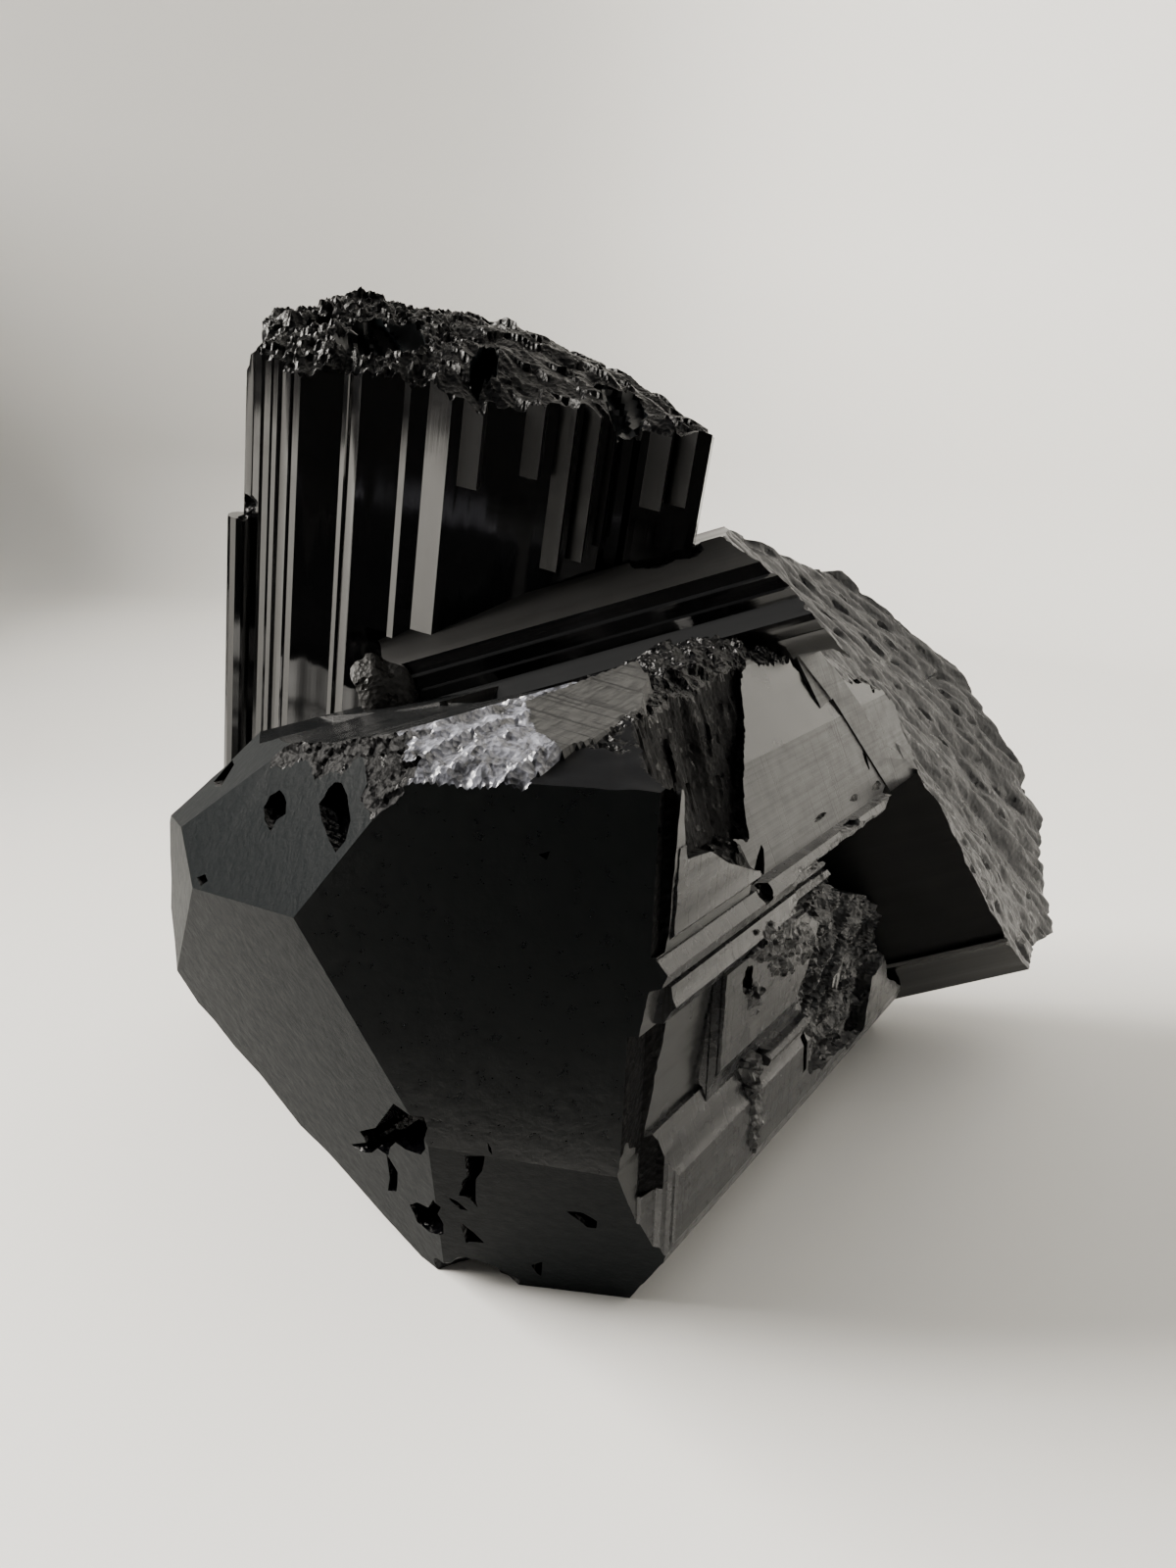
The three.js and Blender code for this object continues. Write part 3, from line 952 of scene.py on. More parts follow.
@dataclass
class LyingCrystal:
    """The stout crystal in front, on its side, with its pyramid end at the front left.

    The bevel's normal is turned from u by bevel_turn degrees, and its plane passes through bevel_at
    in (u, v). The cutter of the flat widens towards the point eye, in front of the cluster.
    """

    heading: float = 32.3
    top: float = 44.8
    side: float = 16.6
    front: float = 60.0
    back: float = -27.0
    apex: Triple = (-3.4, 31.0, 43.0)
    notch_back: float = 20.0
    bevel_turn: float = 24.6
    bevel_at: tuple[float, float] = (15.1, 31.1)
    eye: Triple = (47.2, 60.0, 89.7)
    axes: Axes = field(init=False)

    def __post_init__(self) -> None:
        """Works out the crystal's directions from its heading."""
        h = math.radians(self.heading)
        self.axes = Axes(
            np.array([math.cos(h), -math.sin(h), 0.0]),
            np.array([0.0, 0.0, 1.0]),
            np.array([-math.sin(h), -math.cos(h), 0.0]),
        )

    def left(self) -> list[tuple[float, float, int]]:
        """Gives the corners that the front and the back part share.

        Returns:
            The (u, v, flutes) corners from the top round the left to the foot at the right.
        """
        return [
            (3.8, self.top, 1), (2.2, 42.9, 8), (-24, 36.2, 4), (-31.5, 28, 3), (-32.5, 20, 3),
            (-27.5, 13.3, 5), (-16, 5.8, 4), (-2.6, 0, 1), (12.7, 0, 1), (15.2, 6.9, 3),
        ]

    def build(self) -> bpy.types.Object:
        """Joins the prism and its ledges, and cuts the faces, breaks and pits.

        Returns:
            The finished object.
        """
        a = self.axes
        grown = PrismFace("schorl_lying_sides", a, "#141516", roughness=0.2, bump=0.3).material()
        bevel = PlateFace("schorl_lying_bevel", a, "#343536", roughness=0.34, sheen=0.34).material()
        bars = PlateFace(
            "schorl_ledges", a, "#27282a", roughness=0.22, sheen=0.4, line_mm=0.4,
        ).material()
        patch = PlateFace("schorl_etched_patch", a, "#353534", roughness=0.42, sheen=0.3).material()
        front_end = PyramidFace("schorl_lying_front_face", sheen=0.4, uneven=10.0).material()
        ends = PyramidFace("schorl_lying_faces", roughness=0.5, sheen=0.03, uneven=20.0).material()
        upper_end = PyramidFace(
            "schorl_lying_upper_face", roughness=0.4, sheen=0.015, uneven=40.0,
        ).material()
        left_end = PyramidFace(
            "schorl_lying_left_face", roughness=0.45, sheen=0.035, uneven=40.0,
        ).material()
        broke = BrokenFace("schorl_lying_breaks").material()
        rubble = BrokenFace(
            "schorl_dark_rubble", "#020203", roughness=0.24, sheen=0.14, bump=0.8,
        ).material()
        dusty = BrokenFace("schorl_dull_rubble", "#070708", roughness=0.5, sheen=0.03).material()
        torn = BrokenFace(
            "schorl_torn_side", "#121315", roughness=0.36, sheen=0.4, bump=0.5,
        ).material()
        silver = SilveryPaintedSheenBreak("schorl_silvery_break_painted_sheen").material()
        dark = PyramidFace("schorl_hollows", roughness=0.3, sheen=0.2).material()
        slope = PyramidFace("schorl_smooth_break", "#07080b", roughness=0.5, sheen=0.04).material()
        across = Axes(a.w, a.u, a.v)
        edge_break = np.array([(31.75, 18), (31.7, 16.6), (32.1, 16.1), (37, 16.25), (37, 18)])
        corner_break = np.array([
            (29.4, 18), (29.3, 16.6), (29.9, 15.6), (31.2, 15.0), (37, 15.2), (37, 18),
        ])
        back = fluted([(15.7, 30.1, 3), (9.0, self.top, 1), *self.left()], 0.7, 11)
        corner = [(16.6, 31.1, 1), (17, 40.2, 1), (15.6, self.top, 1)]
        front = fluted([*corner, *self.left()], 0.7, 11)
        overlap = 0.1
        body = prism("lying_crystal", a, back, self.back, self.notch_back, grown, 200)
        body.change(Cut.TAKE, beyond("bevel", a, 90, self.bevel_turn, (14.95, 31.1, 0), bevel))
        nose = prism("nose", a, front, self.notch_back - overlap, self.front, grown, 200)
        body.change(Cut.ADD, nose, *self.ledges(bars), self.crust(torn))
        body.change(
            Cut.TAKE,
            beyond("face_1", a, 27.3, 3, (self.side, 31.7, 32.7), front_end),
            beyond("face_2", a, 22, -123, self.apex, ends),
            beyond("face_3", a, 37.9, 122.2, self.apex, upper_end),
            beyond("face_6", a, 34.3, -47.7, (12.25, 0, 27.8), ends),
            beyond("face_4", a, 33.2, 174.9, (-18, 28.1, 38.8), left_end),
            beyond("face_5", a, 59.9, 123.9, (-23.2, 30.9, 34.8), ends),
            self.top_break(patch, rubble, silver, slope, dusty),
            self.back_break(broke),
            self.side_break(torn),
            self.hollow(dark),
            self.scar(dusty),
            ball("heel_chip", a, (2.6, -0.2, 33.6), (3.5, 2.8, 3.4), 89, broke, 20, 0.2),
            *self.pits(rubble),
            prism("corner_break", across, corner_break, 11.8, 24.6, dusty, 430, 0.9, 0.2, 0.8),
            prism("edge_break", across, edge_break, 29.9, 41.5, dusty, 436, 0.9, 0.12, 0.8),
            beyond("floor", Axes(a.u, a.w, -a.v), 0, 0, (0, 0, 0), grown),
        )
        return finished(body)

    def ledges(self, finish: Finish) -> list[Solid]:
        """Makes the long growth ledges on the right side.

        Each is an outline in (u, v) carried along the crystal, kept within a plan in (w, u) that
        gives its front end upright flutes.

        Args:
            finish: the sides' material.

        Returns:
            The bars.
        """
        a = self.axes
        bars = [
            ("foot", self.back,
             [(12.7, 0.05), (15.9, 5.3), (16.6, 7.2), (16.6, 12.4), (15.4, 16.1), (10, 16.1),
              (10, 0.05)],
             [(33.9, 14.3), (31.5, 14.9), (31.3, 15.3), (29.9, 15.6), (29.7, 16.0), (29.2, 16.1),
              (29.0, 16.35), (28.7, 16.4), (28.4, 17.5)]),
            ("inner", self.back,
             [(10, 15.5), (14.3, 15.5), (14.7, 17), (14.7, 25.0), (10, 25.0)],
             [(29.3, 12.6), (28.4, 12.9), (28.6, 13.3), (27.7, 13.6), (27.9, 13.9), (27.0, 14.2),
              (26.5, 15.5)]),
            ("outer", self.back,
             [(10, 14.8), (15.7, 14.8), (16.0, 16.4), (16.55, 17.6), (16.6, 24.9), (10, 24.9)],
             [(23.5, 14.5), (23.3, 15.0), (23.45, 15.15), (23.2, 15.6), (23.3, 15.75),
              (23.0, 16.2), (23.05, 16.35), (22.7, 17.2)]),
            ("low_rod", self.back,
             [(10, 24.8), (16.3, 24.8), (16.9, 25.9), (16.6, 27.3), (15.7, 27.6), (10, 27.6)],
             [(32.0, 12.5), (31.8, 15.6), (31.2, 16.4), (30.4, 17.5)]),
            ("high_rod", -12.0,
             [(10, 27.5), (15.9, 27.5), (16.8, 27.9), (17.1, 28.8), (16.5, 29.7), (10, 29.8)],
             [(35.6, 12.5), (35.3, 15.2), (34.5, 16.4), (33.5, 17.5)]),
            ("block", 18.4,
             [(10, 29.6), (16.1, 30.0), (16.8, 30.9), (16.9, 36.5), (10, 36.5)],
             [(31.6, 12.5), (31.5, 16.0), (31.2, 17.5)]),
            ("streaks", 7.0,
             [(10, 13.9), (16.7, 14.1), (16.9, 14.7), (16.3, 15.0), (16.8, 15.5), (10, 16)],
             [(15.4, 12.5), (14.6, 17.5)]),
        ]
        across = Axes(a.w, a.u, a.v)
        made = []
        for i, (name, start, outline, plan) in enumerate(bars):
            profile = np.array(outline, float)
            low, high = profile[:, 1].min() - 1, profile[:, 1].max() + 1
            bar = prism(name, a, profile, start - 2, 40, finish, 300 + 7 * i, 0.5, 0.09)
            core = np.array([(start, 9.0), (plan[0][0], 9.0), *plan, (start, 17.5)])
            made.append(bar.change(Cut.KEEP, prism(
                name + "_plan", across, core, low, high, finish, 400 + 7 * i, 0.4, 0.04,
            )))
        return made

    def patch(self, v: Array, w: Array) -> Array:
        """Gives how far each point of the right side lies inside the crusty patch.

        Args:
            v: heights in millimetres.
            w: places along the crystal in millimetres.

        Returns:
            Positive inside the patch or the crusty vein below it, negative outside.
        """
        wavy = 0.5 * rough(v, w, 1.8, 610)
        main = 1 - ((v - 22.6 - 0.35 * (w - 12)) / 2.6) ** 2 - ((w - 12.5) / 6.3) ** 2
        blob = 1 - ((v - 21) / 1.6) ** 2 - ((w - 18.4) / 1.7) ** 2
        vein = 1 - ((w - 16.2 - 0.8 * noise(v / 2, v * 0, 612)) / 0.9) ** 2 - ((v - 13) / 6) ** 4
        return np.maximum(np.maximum(main, blob), vein) + wavy

    def crust(self, finish: Finish) -> Solid:
        """Makes the raised crust on the right side.

        Inside the patch the surface stands about 0.3 mm proud of the side and carries chips and
        small scales. Outside it the crust dips under the side.

        Args:
            finish: the crust's material.

        Returns:
            The solid to add, from 13.2 mm across the crystal outwards.
        """
        a = self.axes
        v, w = plot((6, 29, 0.22), (4, 23, 0.22))
        rise = np.clip(2.5 * self.patch(v, w), -1, 1)
        side = np.interp(v, [16, 21.3, 25, 27, 29], [15.0, 16.5, 16.6, 16.9, 16.9])
        base = np.where(v < 16, self.side, side)
        crumbs = 0.45 * chips(v, w, 0.8, 620, 0.8) + 0.25 * scales(v, w, 0.5, 624)
        height = base + 0.28 * rise + crumbs * (rise > 0) - 0.5 * (rise < 0) - 0.1
        axes, inner = Axes(a.v, a.w, a.u), 13.2
        low = axes.place(np.stack([v, w, np.full_like(v, inner)], -1))
        return slab("crust", low, axes.place(np.stack([v, w, height], -1)), finish)

    def side_break(self, finish: Finish) -> Solid:
        """Makes the splintery part of the right side, far from the front end.

        Long thin plates lie in steps along the crystal under the bevel. Below them the surface is
        torn into splinters that run down and forwards: ridged noise, drawn out that way.

        Args:
            finish: the break's material.

        Returns:
            The cutting solid.
        """
        a = self.axes
        outside = 17.6
        v, w = plot((4, 33, 0.2), (-30, 24, 0.3))
        left = np.interp(
            v, [8.3, 9.2, 14.5, 17.7, 20.5, 22.9, 26.1], [5.7, 5.9, 7.7, 10.1, 8.2, 6.2, 11.7],
        )
        left += 0.7 * rough(v, w, 2.0, 650)
        floor = np.interp(w, [-30, -9, -8, 5.7], [12.5, 12.2, 6.0, 8.3]) + 0.5 * rough(w, v, 2.5, 652)
        inside = np.clip(np.minimum(left - w, v - floor) / 0.8, 0, 1) * (v < 26.5)
        along, across = -0.6 * v + 0.8 * w, 0.8 * v + 0.6 * w
        ridges = 1 - np.abs(rough(across, 0.22 * along, 1.1, 654))
        torn = 0.9 - 0.9 * ridges + 0.6 * scales(across, 0.3 * along, 0.6, 658)
        plates = np.floor(3.2 * (0.5 + 0.5 * noise(v / 0.42, w / 9, 664))) / 3.2
        gap = noise(v / 0.5, w / 6, 668) > 0.72
        shelf = np.clip((17.5 - w) / 6, 0, 1) * np.clip((v - 23.6) / 0.6, 0, 1) * (v < 30.2)
        height = outside - inside * (1.35 + 1.7 * torn + 0.035 * np.maximum(0, 6 - w))
        height = np.minimum(height, outside - shelf * (0.75 + 0.55 * plates + 0.9 * gap))
        return broken("side_break", Axes(a.v, a.w, a.u), v, w, height, finish, reach=30)

    def hollow(self, finish: Finish) -> Solid:
        """Makes the dark hollow between this crystal and the leaning one, below the bevel.

        Args:
            finish: the material of its walls.

        Returns:
            The cutting solid: an outline in (v, w), carried across the crystal.
        """
        a = self.axes
        outline = [
            (28.9, 8.3), (27.6, 6.1), (24.9, 2.9), (22.6, -1.7), (19.5, -9.5), (15.5, -14.8),
            (12.6, -12.5), (10.2, -13.5), (3.6, -24.5), (2, -33), (30.8, -33), (30.5, -12),
            (29.0, -6),
        ]
        return prism("hollow", Axes(a.v, a.w, a.u), outline, 6.5, 30, finish, 680, 0.8, 0.35, 1.2)

    def top_break(self, *finishes: Finish) -> Solid:
        """Makes the top, seen from above.

        Behind the front edge the surface rises from 40.2 mm: as a silvery granular band at the
        left, which ends in a rim above a flat etched patch, and as a smooth slope at the right.
        Between the patch and the bevel it is a hackly break, which falls away towards the rear.

        Args:
            finishes: the material of each surface of the top, as Top numbers them.

        Returns:
            The cutting solid.
        """
        a = self.axes
        u, back = plot((-12, 20, 0.2), (-47, 30, 0.22))
        w = -back
        run = 41.0 - 0.515 * u - w
        plane = 42.9 - 0.19 * (0.534 * (u - 7.5) + 0.845 * (w - 26)) + 0.03 * rough(u, w, 1.5, 90)
        limit = np.interp(w, [5, 10, 15, 17.6, 20.3, 24.4, 28.1, 29.5, 33.1],
                          [-8, -3, 2, 5.5, 8.2, 9.8, 9.9, 10.2, 9.4])
        right = u > limit + 0.35 * rough(u, w, 1.6, 82)
        rim = np.interp(u, [2.5, 3.3, 6.6, 9.4, 12], [20, 28.7, 31.9, 33.1, 34.5])
        band = (w > rim + 0.5 * rough(u, w, 1.5, 74)) & ~right
        silver = 40.2 + 2.65 * (1 - np.exp(-0.5 * np.maximum(0, run) / 2.65 * 1.5)) - 0.3 * (run < 0)
        silver += 0.3 * scales(u, w, 1.4, 71) + 0.22 * chips(u, w, 0.8, 75, 0.7) - 0.2
        silver += 0.5 * np.maximum(0, noise(u / 0.8 + 0.3 * w, w / 9, 79)) ** 2
        slope = 40.2 + 0.27 * run + 0.12 * rough(u, w, 2.6, 70)
        worn = 42.7 - 0.3 * np.maximum(0, -w) - 0.16 * np.maximum(0, u - 7) + 0.5 * rough(u, w, 3.4, 80)
        worn += 0.5 * chips(u, w, 1.6, 85, 0.9) + 0.25 * chips(u, w, 0.7, 88, 0.9)
        worn += 1.7 * np.exp(-(((u - 5) / 4.0) ** 2) - ((w - 9) / 7.5) ** 2)
        torn = self.notch(u, w, run)
        left = 3.3 + 0.2 * (28.7 - w) - u
        plane -= 1.2 * np.maximum(0, left)
        fallen = np.minimum(worn, torn)
        height = np.where(right, np.minimum(slope, fallen), np.where(band, silver, plane))
        pick = np.where(worn < torn, Top.RUBBLE, Top.NOTCH)
        pick = np.where(slope < fallen, Top.SLOPE, pick)
        pick = np.where(right, pick, np.where(band, Top.SILVER, Top.PATCH))
        pick = np.where((left > 0) & (pick == Top.PATCH), Top.RUBBLE, pick)
        return broken("top_break", Axes(a.u, -a.w, a.v), u, back, height, *finishes, pick=pick)

    def bevel_points(self, outline: Array, u: float) -> Array:
        """Puts an outline in the bevel's plane, or in one beside it.

        Across the crystal a point lies at u, less the tangent of the bevel's turn times its height
        above bevel_at.

        Args:
            outline: its (w, v) points, shape (n, 2).
            u: where the plane stands at the height of bevel_at.

        Returns:
            The (u, v, w) points, shape (n, 3).
        """
        w, v = outline[:, 0], outline[:, 1]
        fall = math.tan(math.radians(self.bevel_turn))
        return np.stack([u - fall * (v - self.bevel_at[1]), v, w], -1)

    def flat(self, finish: Finish) -> Solid:
        """Makes the cutter that carries the bevel's plane on into the leaning crystal.

        Args:
            finish: the plane's material.

        Returns:
            The cutting solid: an outline in the plane, carried a quarter of the way to eye.
        """
        outline = np.array([
            (1.5, 42.8), (-8.9, 42.1), (-14.4, 40.2), (-20.2, 37.9), (-23.1, 32.9), (-18.8, 29.5),
            (-9.0, 29.5), (-4.6, 33.0), (-1.4, 37.2),
        ])[::-1]
        back = self.bevel_points(outline, self.bevel_at[0])
        front = back + 0.25 * (np.array(self.eye) - back)
        return carried("flat", self.axes.place(np.stack([back, front])), finish)

    def seam(self, finish: Finish) -> Solid:
        """Makes the stone that closes the seam between the bevel and the leaning crystal.

        It is a strip just under the bevel's plane, given like the flat, and 3 mm thick.

        Args:
            finish: the flat's material.

        Returns:
            The solid to add to the leaning crystal.
        """
        outline = np.array([
            (-1.5, 42.3), (-4.5, 42.0), (-7.0, 37.0), (-10.0, 33.0), (-13.5, 30.2), (-9.5, 29.9),
            (-5.8, 33.0), (-3.2, 37.2),
        ])[::-1]
        under, thick = 14.92, 3.0
        top = self.bevel_points(outline, under)
        low = top - thick * facing(90, self.bevel_turn)
        return carried("seam", self.axes.place(np.stack([low, top])), finish)

    def notch(self, u: Array, w: Array, run: Array) -> Array:
        """Gives the notch behind the front corner, where the crystal is broken away, as heights.

        It is a valley: the highest of its floor, the walls at its left, front and back, and the
        ledge that closes it at the right, with chips on all of them.

        Args:
            u: places across the crystal.
            w: places along it.
            run: distances behind the front end face's upper edge.

        Returns:
            The heights, far above the crystal where there is no notch.
        """
        rear = np.interp(u, [8, 10, 13.1, 15.2, 16.5], [5, 9, 14.4, 17.4, 18.6])
        ahead = w - rear - 0.5 * rough(u, w, 1.8, 84)
        steep = 2.18  # the bevel's height against its way across
        bevel = self.bevel_at[1] + steep * (self.bevel_at[0] - u)
        back = np.where(ahead > 0, bevel - 1.0 - 1.3 * ahead, bevel + 0.6 - 8 * ahead)
        start = np.interp(w, [20, 24, 28, 31, 32.6], [9.5, 10.3, 11.6, 14.0, 16.4])
        side = 41.8 - 2.6 * (u - start)
        front = 40.2 - 4 * (run - 0.8)
        ledge = np.interp(w, [18, 19.7, 21.8, 24.4, 27.1, 30, 31.5, 34],
                          [31, 31.5, 32.4, 33.5, 35.1, 35.5, 35.7, 34.5])
        floor = 32.6 + (ledge - 32.6) * np.clip((u - 14.8) / 0.9, 0, 1)
        hackly = 0.6 * rough(u, w, 2.4, 91) + 0.55 * chips(u, w, 1.5, 92, 0.9)
        hackly = hackly + 0.25 * chips(u, w, 0.7, 95)
        valley = np.maximum(np.maximum(side, front), floor)
        return np.where(ahead > 0, np.maximum(valley, back) + hackly * (u < 15.6), back)

    def scar(self, finish: Finish) -> Solid:
        """Makes the dull rubble along the upper edge of the upper left end face.

        The surface lies in the face's own plane. Above a ragged line it drops below the face by
        up to 1 mm in chips, and elsewhere it stays outside the crystal.

        Args:
            finish: the rubble's material.

        Returns:
            The cutting solid.
        """
        a = self.axes
        normal = facing(37.9, 122.2)
        level = unit(np.cross([0, 1, 0], normal))
        local = Axes(*(a.place(c) for c in (level, np.cross(normal, level), normal)))
        x, y = plot((-6, 26, 0.2), (-4, 22, 0.2))
        start = float(np.dot(normal, self.apex))
        own = x[..., None] * level + y[..., None] * np.cross(normal, level)
        own = own + normal * start
        u, v = own[..., 0], own[..., 1]
        line = np.interp(u, [-16, -12, -9, -6, -3, -1, 1], [37.0, 36.6, 38.4, 37.6, 40.2, 38.6, 37.6])
        upper = (v - line + 0.8 * rough(x, y, 1.5, 700)) * np.clip((u + 16) / 2, 0, 1)
        deep = 0.25 + 0.4 * chips(x, y, 1.5, 704, 0.7) + 0.2 * chips(x, y, 0.6, 708, 0.7)
        height = start + np.where(upper > 0, -np.maximum(0.03, deep) * np.minimum(1, upper), 0.6)
        return broken("scar", local, x, y, height, finish, reach=start + 12)

    def back_break(self, finish: Finish) -> Solid:
        """Makes the ragged break of the hidden back end, a shallow dome with noise and chips.

        Args:
            finish: the break's material.

        Returns:
            The cutting solid.
        """
        a = self.axes
        x, y = plot((-22, 38, 0.5), (-4, 50, 0.5))
        height = 23 - 0.0035 * (x - 4) ** 2 - 0.12 * (y - 12) + 1.2 * rough(x, y, 7, 20)
        height += 0.5 * chips(x, y, 2.2, 24)
        return broken("back_break", Axes(-a.u, a.v, -a.w), x, y, height, finish)

    def pits(self, finish: Finish) -> list[Solid]:
        """Makes the jagged pits in the end faces and the small marks of the right side.

        Each pit is an outline in (u, v) and the w of its bottom. A mark is a small uneven ball,
        given by its middle, its half height and its half length.

        Args:
            finish: the material of their walls.

        Returns:
            The cutting solids.
        """
        a = self.axes
        pits = [
            ([(-8.7, 8.1), (-5.6, 10.2), (-5.5, 11.5), (-2.5, 13.6), (1.4, 18.1), (2.2, 18.1),
              (3.9, 18), (4.1, 17.2), (3.7, 15.4), (2.8, 14.3), (0.9, 13.6), (-0.2, 13.6),
              (-1.3, 12.4), (-2, 11.2), (-3.5, 10.9), (-4.8, 9.6), (-6.9, 8.4)], 33.0),
            ([(-2.2, 11.4), (-1.3, 10.1), (-2.8, 6.6), (-4.5, 5.6), (-3.1, 8.3)], 33.2),
            ([(-1.7, 6.5), (-0.3, 7.7), (1.3, 8.2), (2.4, 9.7), (2.8, 9.1), (2.3, 8.2), (2.4, 7),
              (2, 5.6), (0.1, 4.5), (-1.4, 4.7)], 32.4),
            ([(6.2, 15.6), (7.5, 15.7), (6.8, 13.9), (6.2, 13), (5.3, 10), (5.1, 8.6), (4.8, 10),
              (4.3, 10.6), (5.1, 12.4), (5.6, 13.1)], 34.5),
            ([(3.4, 10.7), (4.1, 10.1), (4.7, 8.7), (4, 9)], 35.0),
            ([(3.5, 7.8), (4.1, 6.4), (4.6, 5), (3.4, 5), (3, 4.7)], 32.8),
            ([(10.8, 10.4), (11.9, 10.5), (12.8, 9.5), (12.5, 8.4), (11.8, 8.5)], 31.0),
            ([(6.8, 3.1), (7.9, 3.8), (7.2, 1.2), (6.9, 1.8)], 30.2),
            ([(7.5, 16.7), (7.8, 16.2), (7.9, 15.5), (7.6, 15.9)], 37.2),
            ([(-5.5, 37.9), (-4, 38.6), (-2.6, 38), (-1.2, 36.9), (-0.9, 35.9), (-1.5, 35.1),
              (-2.7, 35.4), (-4.3, 36), (-5.6, 36.7)], 35.4),
            ([(-12.6, 35.6), (-11.3, 36.3), (-9.5, 35.9), (-9.1, 35.2), (-10, 34.6), (-10.2, 33.8),
              (-11.7, 34.1), (-12.5, 34.7)], 34.2),
            ([(-25.6, 32.5), (-25.8, 34.2), (-23.5, 34.3), (-22, 33.4), (-23.6, 32.9)], 27.0),
            ([(-18.1, 28.8), (-16.9, 29.4), (-15.9, 29.2), (-16.8, 28.5)], 37.4),
            ([(9.9, 36), (10.6, 36.3), (10.4, 35.6)], 34.5),
        ]
        made = [
            hole(f"pit_{i}", a, outline, start, self.front, finish, 90 + i)
            for i, (outline, start) in enumerate(pits)
        ]
        made.append(ball("side_pit", a, (16.9, 29.3, 17.8), (1.0, 0.8, 0.9), 120, finish, 10))
        marks = [
            (14.3, 33.0, -8.4, 1.1, 0.3), (15.4, 30.9, 4.0, 0.25, 1.4), (15.5, 30.7, -3.4, 0.3, 1.2),
            (15.6, 30.5, -8.8, 0.35, 1.6),
        ]
        for i, (u, v, w, high, long) in enumerate(marks):
            made.append(ball(f"mark_{i}", a, (u, v, w), (0.6, high, long), 124 + i, finish, 8))
        made.append(ball("crust_pit", a, (16.8, 23.2, 19.4), (1.2, 1.0, 0.8), 121, finish, 10))
        slit = [(13.4, 7.5), (9.2, 6.9), (9.6, 6.2), (13.8, 6.6)]
        made.append(hole("slit", Axes(a.v, a.w, a.u), slit, 14.6, 18.5, finish, 122))
        return made


def underside_break(finish: Finish) -> Solid:
    """Makes the space under the two crystals behind, which touch the floor only at the left.

    The height is a shallow bowl about the touching place, at most 4 mm, plus noise.

    Args:
        finish: the break's material.

    Returns:
        The cutting solid.
    """
    x, y = plot((-50, 50, 0.6), (0, 50, 0.6))
    away = 0.012 * ((x + 27) ** 2 + 0.8 * (y - 24) ** 2)
    height = np.minimum(away - 0.8, 4) + 0.7 * rough(x, y, 6, 150)
    height += 0.3 * scales(x, y, 2.0, 154)
    low = np.stack([x, y, np.full_like(x, -FAR)], -1)
    return slab("underside", low, np.stack([x, y, height], -1), finish)


WORLD = Axes(np.array([1.0, 0, 0]), np.array([0, 1.0, 0]), np.array([0, 0, 1.0]))


